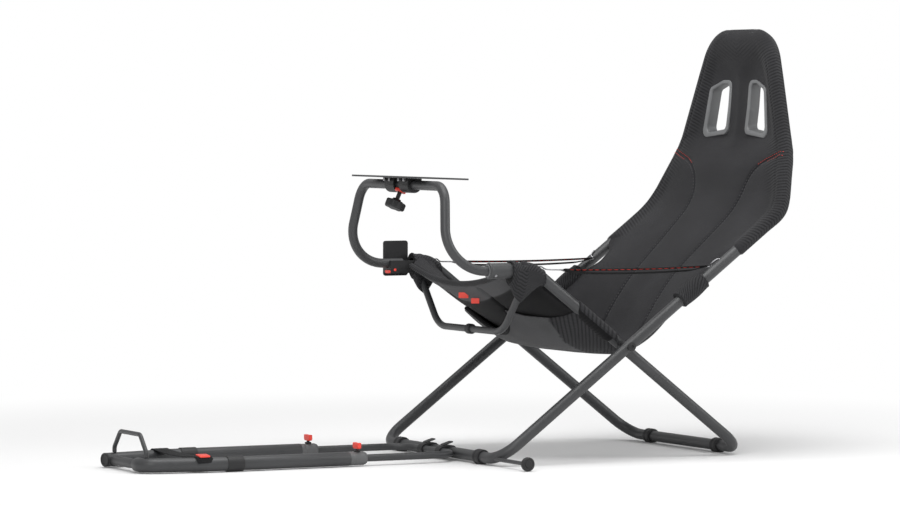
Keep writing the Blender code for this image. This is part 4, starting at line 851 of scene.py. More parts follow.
def sling_edges(s, edge, cut):
    """Half width of the cut cloth and radius of its edge for each row.

    They come from knots (place, half width, radius): a place is y on the seat, and a run up the back tubes.
    """
    run = edge[:, 0] * math.cos(BACK_ANGLE) + (edge[:, 1] - PIVOT_Z) * math.sin(BACK_ANGLE)
    sleeve = SEAT_HALF + SLEEVE_R
    wing = BACK_HALF + SLEEVE_R
    seat = [(-0.288, 0.236, 0.0080), (-0.277, 0.240, 0.0080), (-0.271, 0.262, 0.012),
            (-0.266, sleeve, SLEEVE_R), (-0.210, sleeve, SLEEVE_R), (-0.204, 0.254, 0.006),
            (-0.192, 0.2482, HEM_R), (-0.150, 0.2478, HEM_R), (-0.130, 0.2482, HEM_R),
            (-0.121, 0.254, 0.006), (-0.114, sleeve, SLEEVE_R), (-0.020, sleeve, SLEEVE_R),
            (-0.012, 0.243, HEM_R), (0.0, 0.2415, HEM_R)]
    back = [(0.030, 0.2435, HEM_R), (0.060, 0.262, HEM_R), (0.120, 0.276, HEM_R), (0.160, 0.280, HEM_R),
            (0.175, 0.290, HEM_R), (0.245, 0.290, HEM_R), (0.258, 0.276, HEM_R), (0.290, 0.262, HEM_R),
            (0.325, 0.268, HEM_R), (0.338, 0.282, 0.006), (0.352, wing, SLEEVE_R),
            (COVER_RUN, wing, SLEEVE_R)]
    place, half, radius = np.array(seat + back).T
    seat_at = np.interp(place[:len(seat)], edge[:SEAT_ROWS, 0], s[:SEAT_ROWS])
    back_at = np.interp(place[len(seat):], run[SEAT_ROWS:KNOT_ROWS], s[SEAT_ROWS:KNOT_ROWS])
    at = np.concatenate([seat_at, back_at])
    width = np.interp(s, at, half)
    rim = np.interp(s, at, radius)
    above = s > at[-1]
    width[above] = cut[above]
    rim[above] = SLEEVE_R
    width[:KNOT_ROWS] = blurred(width[:KNOT_ROWS], 2)
    rim[:KNOT_ROWS] = blurred(rim[:KNOT_ROWS], 3)
    return width, rim


class Sling(bpy.types.Operator):
    """Padded sling from the front of the seat to the top of the headrest, with its seams and openings"""

    bl_idname = "racing_seat.sling"
    bl_label = "Sling"

    def execute(self, context):
        cloth = context.scene.racing_seat_cloth
        shape = sling_shape(cloth)
        piece = add_piece("sling", sling_mesh("sling", shape), finish_for("sling"), None,
                          ("seat_sling", "lower_back_sling", "backrest_cover"))
        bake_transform(piece)
        front = shape["mid"][0]
        roll = respaced(front[np.abs(front[:, 0]) < 0.2465] + np.array((0.0, -0.002, 0.0)), 90)
        add_grid("front_roll", tube_grid(roll, FRONT_ROLL_R, 16), "mesh", "seat_frame", ())
        return {"FINISHED"}


def seam_lines(s, edge, width):
    """Distance of the wing seam from the middle for each row, and how much of a seam there is."""
    z = edge[:, 1]
    back = np.arange(len(s)) >= SEAT_ROWS
    heights = [0.30, 0.44, 0.484, 0.53, 0.59, 0.62, 0.65, 0.668, 0.676, 0.6835, 0.690, 0.6955, 0.700, 0.74]
    places = [SEAM_X, 0.094, 0.0983, 0.105, 0.110, 0.116, 0.1327, 0.159, 0.178, 0.198, 0.219, 0.244, 0.268,
              0.275]
    flare = np.interp(z, heights, places)
    seam = np.where(back, flare, SEAM_X)
    border = width - SLEEVE_R - 0.045
    high = ease((z - SEAM_TOP_Z) / 0.05) * back
    seam = seam * (1 - high) + border * high
    seam = np.minimum(seam, width - 0.010)
    there = np.where(back, 1 - ease((z - SEAM_TOP_Z) / 0.006), 1.0)
    return blurred(seam, 3), there


def edge_distance(x, s, width, rim):
    """Distance of each point of the sling from the cut edge, the edge's radius there, and what lies on it.

    The edge is a line of straight pieces: round the seat's front, up the side and over the crown.
    """
    front = np.column_stack([np.linspace(0, width[0], 40), np.full(40, s[0] - 0.001)])
    crown = np.column_stack([np.linspace(width[-1], 0, 30), np.full(30, s[-1])])
    outline = np.concatenate([front, np.column_stack([width, s]), crown])
    rims = np.concatenate([np.full(40, rim[0]), rim, np.full(30, SLEEVE_R)])
    here = np.stack([np.abs(x), np.broadcast_to(s[:, None], x.shape)], axis=-1)
    start, span = outline[:-1], np.diff(outline, axis=0)
    length = np.maximum((span ** 2).sum(axis=-1), 1e-12)
    d, r = np.empty(x.shape), np.empty(x.shape)
    for i in range(0, len(s), 20):
        rel = here[i:i + 20, :, None] - start
        share = np.clip((rel * span).sum(axis=-1) / length, 0, 1)
        gap = np.linalg.norm(rel - share[..., None] * span, axis=-1)
        pick = gap.argmin(axis=-1)
        d[i:i + 20] = gap.min(axis=-1)
        part = np.take_along_axis(share, pick[..., None], axis=-1)[..., 0]
        r[i:i + 20] = rims[pick] * (1 - part) + rims[pick + 1] * part
    ends = np.abs(x) >= width[:, None] - 1e-9
    ends[-1] = True
    d[ends] = 0.0
    return d, r, ends


def sling_shape(cloth):
    """Front and back faces of the sling as grids: mid-surface +- normal times h.

    h is r sqrt(1 - (1 - d / r)^2) within r of the edge and eases to the padding inside, d being the distance
    to the cut edge. Panels are crowned by c (1 - q^2) between seams, and pulled in by a exp(-(e / w)^2) at a
    distance e from a seam.
    """
    s, edge, middle, nominal, cut = sling_tables()
    width, rim = sling_edges(s, edge, cut)
    seam, there = seam_lines(s, edge, width)
    a = np.linspace(0.0, 1.0, 25)
    inner = 1 - (1 - a) ** 1.5
    b = np.linspace(0.0, 1.0, 38)[1:]
    outer = b - np.sin(2 * np.pi * b) / (2 * np.pi) * 0.55
    half = np.concatenate([seam[:, None] * inner, seam[:, None] + (width - seam)[:, None] * outer], axis=1)
    x = np.concatenate([-half[:, :0:-1], half], axis=1)
    lift = ((np.abs(x) / nominal[:, None]) ** 2)[..., None]
    flat = middle[:, None] + (edge - middle)[:, None] * lift
    mid = np.concatenate([x[..., None], flat], axis=-1)
    normal = unit(np.cross(np.gradient(mid, axis=1), np.gradient(mid, axis=0)))
    d, r, ends = edge_distance(x, s, width, rim)
    from_seam = np.abs(x) - seam[:, None]
    height_z = edge[:, 1][:, None]
    head = ease((height_z - HEAD_Z) / 0.06)
    dish_x = (np.abs(x) - DISH_MIDDLE[0]) / DISH_SIZE[0]
    dish_z = (height_z - DISH_MIDDLE[1]) / DISH_SIZE[1]
    dish = np.exp(-((dish_x ** 2 + dish_z ** 2) ** 4))
    pad = PAD + HEAD_PAD * ease((height_z - 0.60) / 0.09) - DISH_DEPTH * dish * head
    reach = r + 0.012 * head
    round_edge = r * np.sqrt(np.clip(1 - (1 - np.minimum(d / reach, 1.0)) ** 2, 0, 1))
    h = round_edge + (pad - r) * ease((d - 0.8 * reach) / 0.040)
    q_in = np.clip(np.abs(x) / seam[:, None], 0, 1)
    q_out = np.clip(from_seam / np.maximum(width - seam, 1e-3)[:, None], 0, 1)
    broad = np.clip((width - seam) / 0.09, 0, 1)[:, None]
    crown_rise = np.where(from_seam <= 0, 1 - q_in ** 4, broad * (1 - (2 * q_out - 1) ** 2))
    slant = SEAM_WIDTH * np.sqrt(1 + np.gradient(seam, s) ** 2)
    pull = np.exp(-(from_seam / slant[:, None]) ** 2) * there[:, None]
    pull = pull * ease((d - 0.004) / 0.016) * (1 - 0.45 * ease((height_z - 0.645) / 0.04))
    below_top = ease((s[-1] - s - 0.03) / 0.07)[:, None]
    border = 0.6 * np.exp(-((d - BORDER_INSET) / 0.0028) ** 2) * ease((height_z - 0.50) / 0.05) * below_top
    near_seam = np.exp(-(from_seam / (4.5 * slant[:, None])) ** 2) * there[:, None]
    pucker = PUCKER_DEPTH * np.sin(2 * np.pi * s[:, None] / PUCKER_PITCH + 40 * np.abs(x))
    pucker = pucker * near_seam * ease(d / 0.03)
    h = h + cloth.crown * (1 - 0.85 * head) * crown_rise * ease(d / 0.03)
    h = h - cloth.seam_depth * np.maximum(pull, border) + pucker
    h = np.maximum(h, np.where(ends, 0.0, LEAST_PAD))
    h[ends] = 0.0
    behind = h + BACK_PAD * ease((height_z - 0.53) / 0.05) * ease(d / 0.008)
    behind[ends] = 0.0
    top, bottom = mid + normal * h[..., None], mid - normal * behind[..., None]
    return {"s": s, "x": x, "d": d, "mid": mid, "normal": normal, "top": top, "bottom": bottom,
            "seam": seam, "edge": edge}


def inside_outline(points, corners):
    """Which points (a, b) lie inside a convex outline given anticlockwise: left of every side."""
    ahead = np.roll(corners, -1, axis=0) - corners
    rel = points[..., None, :] - corners
    return np.all(ahead[:, 0] * rel[..., 1] - ahead[:, 1] * rel[..., 0] > 0, axis=-1)


def sling_mesh(name, shape):
    """Closed mesh of the two faces: they share the cut edges, and the front row and the vents are walled."""
    top, bottom, x, s = shape["top"], shape["bottom"], shape["x"], shape["s"]
    rows, cols = x.shape
    upper = np.arange(rows * cols).reshape(rows, cols)
    lower = upper + rows * cols
    lower[:, 0], lower[:, -1], lower[-1] = upper[:, 0], upper[:, -1], upper[-1]
    points = np.concatenate([top.reshape(-1, 3), bottom.reshape(-1, 3)])
    centre = (shape["mid"][:-1, :-1] + shape["mid"][1:, 1:]) / 2
    flat = np.stack([np.abs(centre[..., 0]), centre[..., 2]], axis=-1)
    keep = ~inside_outline(flat, VENT_CORNERS * VENT_CUT + VENT_CORNERS.mean(axis=0) * (1 - VENT_CUT))
    quads = [cell_corners(upper)[keep], cell_corners(lower)[keep][:, ::-1]]
    i, j = np.nonzero(keep[1:] != keep[:-1])
    quads.append(np.stack([upper[i + 1, j], upper[i + 1, j + 1], lower[i + 1, j + 1], lower[i + 1, j]],
                          axis=-1))
    i, j = np.nonzero(keep[:, 1:] != keep[:, :-1])
    quads.append(np.stack([upper[i, j + 1], upper[i + 1, j + 1], lower[i + 1, j + 1], lower[i, j + 1]],
                          axis=-1))
    quads.append(np.stack([upper[0, :-1], lower[0, :-1], lower[0, 1:], upper[0, 1:]], axis=-1))
    quads = np.concatenate(quads)
    folded = (np.diff(np.sort(quads, axis=1), axis=1) == 0).any(axis=1)
    caps = [list(dict.fromkeys(q)) for q in quads[folded].tolist()]
    quads = quads[~folded]
    across = np.cumsum(np.linalg.norm(np.diff(top, axis=1, prepend=top[:, :1]), axis=-1), axis=1)
    out = np.abs(across - across[:, cols // 2, None])
    face_uv = np.stack([-out, np.broadcast_to(s[:, None], x.shape)], axis=-1).reshape(-1, 2)
    uv_point = np.concatenate([face_uv, face_uv])
    mesh = make_mesh(name, points, quads, [c for c in caps if len(c) == 3], uv_point[quads].reshape(-1, 2),
                     sharp=180.0)
    mesh.polygons.foreach_set("use_smooth", np.ones(len(mesh.polygons), bool))
    paint_zones(mesh, sling_zones(shape))
    return mesh


def paint_zones(mesh, colours):
    """Gives each point of a mesh its zone colour."""
    zone = mesh.attributes.new("zone", "FLOAT_COLOR", "POINT")
    zone.data.foreach_set("color", colours.reshape(-1).astype(np.float32))


def sling_zones(shape):
    """Zone colours of the front and the back face: ribbed sides, grey lining, painted shade under the seat."""
    x, s = shape["x"], shape["s"]
    rows, cols = x.shape
    z = shape["edge"][:, 1][:, None]
    border = (1 - ease((shape["d"] - 0.034) / 0.050)) * ease((z - 0.480) / 0.02)
    border = border * ease((s[-1] - s - 0.01) / 0.06)[:, None]
    rib_hip = ease((np.abs(x) - 0.165) / 0.004) * ease((shape["mid"][..., 1] + 0.125) / 0.01)
    rib_hip = rib_hip * (np.arange(rows) < SEAT_ROWS + 4)[:, None]
    rib_hip = rib_hip * (0.3 + 0.7 * ease((shape["d"] - 0.012) / 0.012))
    rib = np.clip(border + rib_hip, 0, 1)
    under = np.broadcast_to(1 - ease((s - 0.052) / 0.004), (cols, rows)).T
    face = np.zeros((2, rows, cols, 4))
    face[..., 0] = rib
    face[1, ..., 1] = under * (1 - rib_hip)
    # Blue: painted shade over the seat's back face beyond the lining skirt, where it lies in shadow.
    face[1, ..., 2] = (1 - under) * (np.arange(rows) < SEAT_ROWS)[:, None]
    face[..., 3] = 1.0
    return face


# Cloth pieces.


class SeatLining(bpy.types.Operator):
    """Second layer under the seat: a bound grey tongue, mesh hips that rise to the tubes, two red tabs"""

    bl_idname = "racing_seat.lining"
    bl_label = "Seat lining"

    def execute(self, context):
        mid, normal, uv, area = lining_faces()
        rows, cols = mid.shape[:2]
        upper = np.arange(rows * cols).reshape(rows, cols)
        rim = np.concatenate([upper[0, :-1], upper[:-1, -1], upper[-1, :0:-1], upper[:0:-1, 0]])
        after = np.roll(rim, -1)
        count = rows * cols
        wall = np.stack([rim, rim + count, after + count, after], axis=-1)
        face = grid_quads(rows, cols, False, False)
        quads = np.concatenate([face, face[:, ::-1] + count, wall])
        lift = normal * LINING_THICK / 2
        points = np.stack([mid + lift, mid - lift]).reshape(-1, 3)
        flat = np.concatenate([uv.reshape(-1, 2)] * 2)
        mesh = make_mesh("seat_lining", points, quads, (), flat[quads].reshape(-1, 2))
        reach = np.minimum(-0.171 + 2.65 * (0.20 - np.abs(mid[..., 0])), 0.012)
        hip = ease((mid[..., 1] - reach) / 0.003)
        tint = np.stack([hip, 1 - hip, np.zeros_like(hip), np.ones_like(hip)], axis=-1)
        paint_zones(mesh, np.stack([tint, tint]))
        piece = add_piece("seat_lining", mesh, finish_for("sling"), "seat_frame", ())
        binding = respaced(mid[0], 90)
        add_grid("lining_binding", tube_grid(binding, BINDING_R, 12), "webbing", "seat_frame", ())
        across, rise = np.array((0.53, 0.848, 0.0)), np.array((0.0, 0.0, 1.0))
        for name, place, width, height in (("front_red_tab", (0.020, -0.2820, 0.3752), 0.023, 0.0135),
                                           ("rear_red_tab", (0.050, -0.2670, 0.3632), 0.019, 0.0125)):
            outline = box_outline(width, height, 0.002)
            grid = prism_grid(outline, -0.001, 0.001, place, across, rise, 0.0006)
            add_grid(name, grid, "red", "seat_frame", ())
        return {"FINISHED"}


def lining_faces():
    """Middle surface of the second layer, its normals, its metres and its area.

    For u from -1 to 1 across and v from 0 to 1 along: x = half(v) u,
    y = middle(v) + (side(v) - middle(v)) u^2 and z = low(v) + (high(v) - low(v)) |u|^bend(v).
    """
    v = np.linspace(0.0, 1.0, 80)
    u = np.linspace(-1.0, 1.0, 81)
    side = -0.215 + 0.245 * v
    middle = -0.168 + 0.198 * v
    knots = [-0.215, -0.190, -0.150, -0.128, -0.119, -0.113, -0.017, -0.009, 0.0, 0.03]
    widths = [0.100, 0.150, 0.197, 0.228, 0.262, 0.2796, 0.2796, 0.264, 0.246, 0.2405]
    heights = [0.341, 0.330, 0.326, 0.332, 0.343, 0.3520, 0.2772, 0.252, 0.247, 0.243]
    half = blurred(np.interp(side, knots, widths), 1)
    high = blurred(np.interp(side, knots, heights), 1)
    low = blurred(np.interp(middle, [-0.168, -0.140, -0.097, -0.020, 0.03],
                            [0.284, 0.268, 0.2545, 0.2405, 0.236]), 4)
    bend = np.interp(side, [-0.215, -0.12, -0.03, 0.03], [2.0, 3.6, 4.6, 2.2])
    x = half[:, None] * u
    y = middle[:, None] + (side - middle)[:, None] * u ** 2
    z = low[:, None] + (high - low)[:, None] * np.abs(u) ** bend[:, None]
    mid = np.stack([x, y, z], axis=-1)
    hip = (ease((side + 0.119) / 0.006) * ease((-0.013 - side) / 0.006) * 0.98 + 0.02)[:, None, None]
    turn = np.linspace(0.0, math.radians(95), 7)[1:]
    wrap = 0.0178 * np.column_stack([np.cos(turn) - 1, 0 * turn, np.sin(turn)])
    right = (mid[:, :1] + hip * mirrored(wrap))[:, ::-1]
    mid = np.concatenate([right, mid, mid[:, -1:] + hip * wrap], axis=1)
    x = mid[..., 0]
    normal = unit(np.cross(np.gradient(mid, axis=1), np.gradient(mid, axis=0)))
    cells = np.cross(np.diff(mid, axis=1)[:-1], np.diff(mid, axis=0)[:, :-1])
    area = float(np.linalg.norm(cells, axis=-1).sum())
    run = run_along(mid[:, 46])
    return mid, normal, np.stack([x, np.broadcast_to(run[:, None], x.shape)], axis=-1), area


class Pockets(bpy.types.Operator):
    """Ribbed mesh pouches that hold the seat's front corners on the knee bends, with their rolled hems"""

    bl_idname = "racing_seat.pockets"
    bl_label = "Knee pockets"

    def execute(self, context):
        for side, sign, front_y in (("left", 1, LEFT_POCKET_Y), ("right", -1, RIGHT_TUBE_END_Y)):
            grid = pocket_grid(sign, front_y)
            name = f"{side}_pocket_pouch"
            piece = add_grid(name, grid, "mesh", "seat_frame", (f"{side}_knee_pocket",))
            for label, row, radius in (("front", -2, 0.0026), ("rear", 1, 0.0016)):
                hem = np.concatenate([grid[row], grid[row, :1]])
                name = f"{side}_pocket_{label}_hem"
                add_grid(name, swept(hem, circle(radius, 8))[:-1], "mesh", "seat_frame", (),
                         ring=True)
        return {"FINISHED"}


def pocket_grid(sign, front_y):
    """Pouch along the knee: r cos t across, r sin t above the tube and depth |sin t|^0.8 below it."""
    x = sign * SEAT_HALF
    path = bent_path([(x, *seat_line(0.258)), (x, KNEE_Y, KNEE_Z), (x, front_y, KNEE_Z)], [KNEE_BEND])
    path = respaced(path, 44)
    y = path[:, 1]
    depth = np.interp(y, [front_y, -0.268, -0.250, -0.232, -0.208], [0.030, 0.060, 0.074, 0.052, 0.0185])
    depth = blurred(depth, 4)
    t = np.linspace(0.0, 2 * np.pi, 56, endpoint=False)
    across, up = np.cos(t), np.sin(t)
    below = up < 0
    drop = np.where(below, -np.abs(up) ** 0.8, 0.0)
    thin = np.where(below, 1 - 0.55 * np.abs(up) ** 1.2, 1.0)
    pinch = np.clip((depth - 0.0185) / 0.05, 0, 1)[:, None]
    sleeve = np.interp(y, [front_y, front_y + 0.012, front_y + 0.022], [0.0212, 0.0208, 0.0178])[:, None]
    wide = sleeve * across * np.where(below, 1 + (thin - 1) * pinch, 1.0)
    high = np.where(below, drop * depth[:, None], sleeve * up)
    swell = 1 + 0.035 * np.sin(np.linspace(0, np.pi, len(path)))[:, None]
    x = path[:, :1] + wide * swell - sign * 0.020 * pinch * np.where(below, np.abs(up) ** 1.5, 0.0)
    return np.stack([x, np.broadcast_to(path[:, 1:2], x.shape), path[:, 2:] + high * swell], axis=-1)


class BackLoops(bpy.types.Operator):
    """Ribbed bands that tie the sling's sides to the back tubes"""

    bl_idname = "racing_seat.back_loops"
    bl_label = "Back loops"

    def execute(self, context):
        t = np.linspace(0.0, 1.0, 25)
        hem = 0.0013 * (np.exp(-((t - 0.05) / 0.03) ** 2) + np.exp(-((t - 0.95) / 0.03) ** 2))
        outer = TUBE_R + 0.0044 + 0.0040 * np.sin(np.pi * t) ** 0.6 + hem
        outer[[0, -1]] = TUBE_R + 0.0022
        inner = np.full(2, TUBE_R + 0.0003)
        along = np.concatenate([LOOP_LENGTH * t, [LOOP_LENGTH, 0.0]])
        profile = np.column_stack([along, np.concatenate([outer, inner])])
        way = (0, math.cos(BACK_ANGLE), math.sin(BACK_ANGLE))
        for side, sign in SIDES:
            start = (sign * BACK_HALF, *back_line(LOOP_RUN))
            grid = turned_grid(profile, start, way, 56)
            middle = np.array(start) + profile[:, :1] * way
            out = grid - middle[:, None]
            inward = np.clip(-sign * unit(out)[..., 0], 0, 1) ** 2
            grid[: len(t)] += (out * inward[..., None] * 0.45)[: len(t)]
            name = f"{side}_loop_band"
            piece = add_grid(name, grid, "mesh", "back_frame", (f"{side}_back_loop",),
                             ring=True)
        return {"FINISHED"}


class Straps(bpy.types.Operator):
    """Doubled side straps with red stitching and wire hooks"""

    bl_idname = "racing_seat.straps"
    bl_label = "Side straps"

    def execute(self, context):
        t = np.linspace(0.0, 1.0, 41)
        start = np.array((0.0, STRAP_REAR_Y, 0.44)) + SHIFT
        end = np.array((0.0, STRAP_FRONT_Y, 0.44)) + SHIFT
        turn = np.array([[math.cos(STRAP_LEAN), math.sin(STRAP_LEAN)],
                         [-math.sin(STRAP_LEAN), math.cos(STRAP_LEAN)]])
        outline = box_outline(STRAP_WIDTH, WEBBING_THICK, 0.0009, 0.8)
        for side, sign in SIDES:
            for label, drop, sag in (("upper", 0.0, 0.003), ("lower", 0.0065, 0.0055)):
                bow = sag * 4 * t * (1 - t)
                close = drop * np.clip(np.minimum(t, 1 - t) / 0.12, 0, 1) ** 0.7
                y = STRAP_FRONT_Y + (STRAP_REAR_Y - STRAP_FRONT_Y) * t
                z = STRAP_Z + 0.001 * t - bow - close
                path = np.column_stack([np.full(41, sign * STRAP_X), y, z])
                grid = swept(path, outline @ turn, 1.0, (1, 0, 0))
                name = f"{side}_{label}_strap"
                nodes = (f"{side}_side_strap",) if label == "upper" else ()
                piece = add_grid(name, grid, "webbing", None, nodes)
                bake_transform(piece)
                if label == "upper":
                    self.stitches(side, path, turn, start, end)
            self.hooks(side, sign)
        return {"FINISHED"}

    @staticmethod
    def stitches(side, path, turn, start, end):
        """Red stitches: a row along each face of the strap, near opposite edges."""
        across, up = carried_frames(path, (1, 0, 0))
        for number, (a, b) in enumerate(((0.0085, 0.0012), (-0.0085, -0.0012))):
            spot = np.array((a, b)) @ turn
            away = np.array((0.0, math.copysign(1.0, b))) @ turn
            line = path + across * spot[0] + up * spot[1]
            name = f"{side}_strap_stitch_{number}"
            lift = across * away[0] + up * away[1]
            mesh = stitch_mesh(name, line[1:-1], lift[1:-1], 0.0165, 0.0135, 0.0008)
            piece = add_piece(name, mesh, finish_for("thread"), None, ())
            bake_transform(piece)

    @staticmethod
    def hooks(side, sign):
        """Bent wire at each end: out of the strap's fold and over the tube."""
        y, z = back_line(0.305)
        front = [(STRAP_X, -0.150, 0.4405), (STRAP_X, -0.172, 0.4412), (0.2665, -0.197, 0.4425),
                 (0.262, -0.2095, 0.4490), (0.262, -0.222, 0.4475)]
        rear = [(STRAP_X, 0.210, 0.4405), (0.279, 0.226, 0.4420), (0.288, y - 0.020, z + 0.0030),
                (0.2945, y - 0.0085, z + 0.0125), (0.3005, y - 0.004, z + 0.0125)]
        for label, points, body in (("front", front, "seat_frame"), ("rear", rear, "back_frame")):
            name = f"{side}_{label}_hook"
            line = smooth_line(np.array(points) * (sign, 1, 1), 26)
            wire = tube_grid(line, 0.0016, 12, 0.0006)
            add_grid(name, wire, "steel", body, ())


def face_height(shape, points, up, rows):
    """Height of the sling's front face over each point along up: a mean weighted by exp(-(g / w)^2)."""
    face = shape["top"][rows[0]:rows[-1] + 3].reshape(-1, 3)
    rel = face - points[:, None]
    rise = (rel * up[:, None]).sum(axis=-1)
    away = (rel ** 2).sum(axis=-1) - rise ** 2
    weight = np.exp(-away / 0.0030 ** 2) * (np.abs(rise) < 0.02)
    return blurred((weight * rise).sum(axis=1) / np.maximum(weight.sum(axis=1), 1e-9), 3)


def row_points(shape, key, rows, x):
    """Points or normals of the sling at a distance x from the middle of each of the rows."""
    points = [[np.interp(a, shape["x"][i], shape[key][i, :, k]) for k in range(3)] for i,
              a in zip(rows, x)]
    return np.array(points)


class SeamStitches(bpy.types.Operator):
    """Stitch rows along the wing seams: red near the neck, grey further down"""

    bl_idname = "racing_seat.seam_stitches"
    bl_label = "Seam stitches"

    def execute(self, context):
        cloth = context.scene.racing_seat_cloth
        shape = sling_shape(cloth)
        z = shape["edge"][:, 1]
        rows = np.nonzero((np.arange(len(z)) > SEAT_ROWS + 30) & (z < SEAM_TOP_Z))[0]
        tail = np.linspace(0.004, 0.020, 5)
        at = np.concatenate([rows, np.full(len(tail), rows[-1])])
        reach = np.concatenate([shape["seam"][rows], shape["seam"][rows[-1]] + tail])
        for side, sign in SIDES:
            up = unit(row_points(shape, "normal", at, sign * reach))
            seam = row_points(shape, "top", at, sign * reach) + up * cloth.seam_depth
            seam = respaced(np.concatenate([seam, up], axis=1), 160)
            line, up = blurred(seam[:, :3], 6), unit(seam[:, 3:])
            out = unit(np.cross(up, np.gradient(line, axis=0))) * -sign
            for label, offset, red in (("outer", 0.0046, 0.070), ("inner", -0.0046, 0.115)):
                row = line + out * offset
                row = row + up * (face_height(shape, row, up, rows) + 0.0005)[:, None]
                run = run_along(row)
                near = run > run[-1] - red
                for colour, part in (("thread", near), ("grey_thread", ~near)):
                    name = f"{side}_{label}_{colour}_row"
                    length = cloth.stitch_pitch * 0.58
                    mesh = stitch_mesh(name, row[part], up[part], cloth.stitch_pitch, length, 0.00072)
                    add_piece(name, mesh, finish_for(colour), "back_frame", ())
        return {"FINISHED"}


def bowl_terms(a, b):
    """Terms of a shallow bowl: 1, a, b, a^2, a b, b^2."""
    return np.stack([np.ones_like(a), a, b, a * a, a * b, b * b], axis=-1)


class Vents(bpy.types.Operator):
    """Moulded frames of the two headrest openings"""

    bl_idname = "racing_seat.vents"
    bl_label = "Headrest vents"

    def execute(self, context):
        shape = sling_shape(context.scene.racing_seat_cloth)
        x, y, z = np.moveaxis(shape["top"], -1, 0)
        near = (x > 0.030) & (x < 0.166) & (z > 0.722) & (z < 0.886)
        fit = np.linalg.lstsq(bowl_terms(x[near], z[near]), y[near], rcond=None)[0]
        outline = rounded_outline(VENT_CORNERS, VENT_CORNER_R, 0.2)
        centre = VENT_CORNERS.mean(axis=0)
        face = [(1.0, 0.0100), (1.0, 0.0032), (0.990, 0.0012), (0.970, 0.0), (0.850, 0.0), (0.832, 0.0008),
                (0.822, 0.0026), (0.822, 0.0100)]
        wall = [(0.838, 0.0032), (0.812, 0.0032), (0.806, 0.0040), (0.795, 0.0252), (0.812, 0.0280),
                (0.85, 0.0292), (0.95, 0.0292), (0.99, 0.0280), (1.0, 0.0252), (1.0, 0.0180),
                (0.86, 0.0180), (0.838, 0.0160)]
        # The walls take the darker collar grey as painted shade inside the openings; the frame faces keep the
        # vent grey.
        for part, rim, finish in (("frame", face, "bezel"), ("wall", wall, "light")):
            rim = np.array(rim)
            shrink = 1 - (1 - rim[:, :1]) * np.array((1.25, 0.85))
            flat = centre + shrink[:, None] * (outline - centre)
            depth = bowl_terms(flat[..., 0], flat[..., 1]) @ fit - VENT_INSET + rim[:, None, 1]
            for side, sign in SIDES:
                grid = np.stack([sign * flat[..., 0], depth, flat[..., 1]], axis=-1)
                name = f"{side}_vent_{part}"
                nodes = (f"{side}_vent",) if part == "frame" else ()
                add_grid(name, grid, finish, "back_frame", nodes, ring=True)
        return {"FINISHED"}


# Wheel bar and plate.


class WheelBar(bpy.types.Operator):
    """Swing bar with its socket, cradle and latch"""

    bl_idname = "racing_seat.wheel_bar"
    bl_label = "Wheel bar"

    def execute(self, context):
        half = [(SEAT_HALF, -0.3012, KNEE_Z), (SEAT_HALF, -0.4515, KNEE_Z), (BAR_HALF, *PLATE_AXIS[1:])]
        path = bent_path(both_sides(half), [0.090, 0.050, 0.050, 0.090], 0.05)
        add_grid("swing_bar", tube_grid(path, BAR_R), "tube", "wheel_bar", ("wheel_bar",))
        sleeve = soft_profile([(0.0, 0.0129), (0.0, 0.0165), (0.002, 0.0178), (0.062, 0.0178),
                               (0.0645, 0.0184), (0.0685, 0.0184), (0.070, 0.0172), (0.070, 0.0128)],
                              0.0006)
        start = (SEAT_HALF, SOCKET_Y, KNEE_Z)
        add_grid("socket_sleeve", turned_grid(sleeve, start, (0, -1, 0), 48), "tube", "seat_frame",
                 ("bar_socket",), ring=True)
        lip = soft_profile([(0.0256, 0.0112), (0.0256, 0.0127), (0.0695, 0.0127), (0.0702, 0.0150),
                            (0.0712, 0.0146), (0.0712, 0.0112)], 0.0003)
        add_grid("socket_lip", turned_grid(lip, start, (0, -1, 0), 48), "bezel", "seat_frame",
                 ("bar_bush",), ring=True)
        pin = soft_profile([(0.0, 0.0001), (0.0, 0.0032), (0.0030, 0.0032), (0.0040, 0.0022),
                            (0.0040, 0.0001)], 0.0005)
        way = np.array((0.80, 0.0, -0.60))
        spot = np.array((SEAT_HALF, -0.331, KNEE_Z)) + 0.0158 * way
        add_grid("socket_pin", turned_grid(pin, spot, way, 20), "steel", "seat_frame", ())
        dot = soft_profile([(0.0, 0.0001), (0.0, 0.0034), (0.0016, 0.0034), (0.0024, 0.0024),
                            (0.0024, 0.0001)], 0.0005)
        button = (-SEAT_HALF + 0.0188, -0.329, 0.4255)
        add_grid("cradle_button", turned_grid(dot, button, (1, 0, 0), 20), "red", "seat_frame", ())
        for node, key in (("bar_cradle", "black"), ("cradle_plate", "black"), ("bar_latch", "red")):
            keep_node(node, key, 0.0012)
        return {"FINISHED"}


def keep_node(node, key, ease_width):
    """Gives a CAD node that stays its finish and a small rounding along its sharp edges."""
    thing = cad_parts[node]
    thing.data.materials.clear()
    thing.data.materials.append(finish_for(key))
    round_edges = thing.modifiers.new("eased_edges", "BEVEL")
    round_edges.width, round_edges.segments, round_edges.limit_method = ease_width, 2, "ANGLE"
    round_edges.angle_limit = math.radians(40.0)


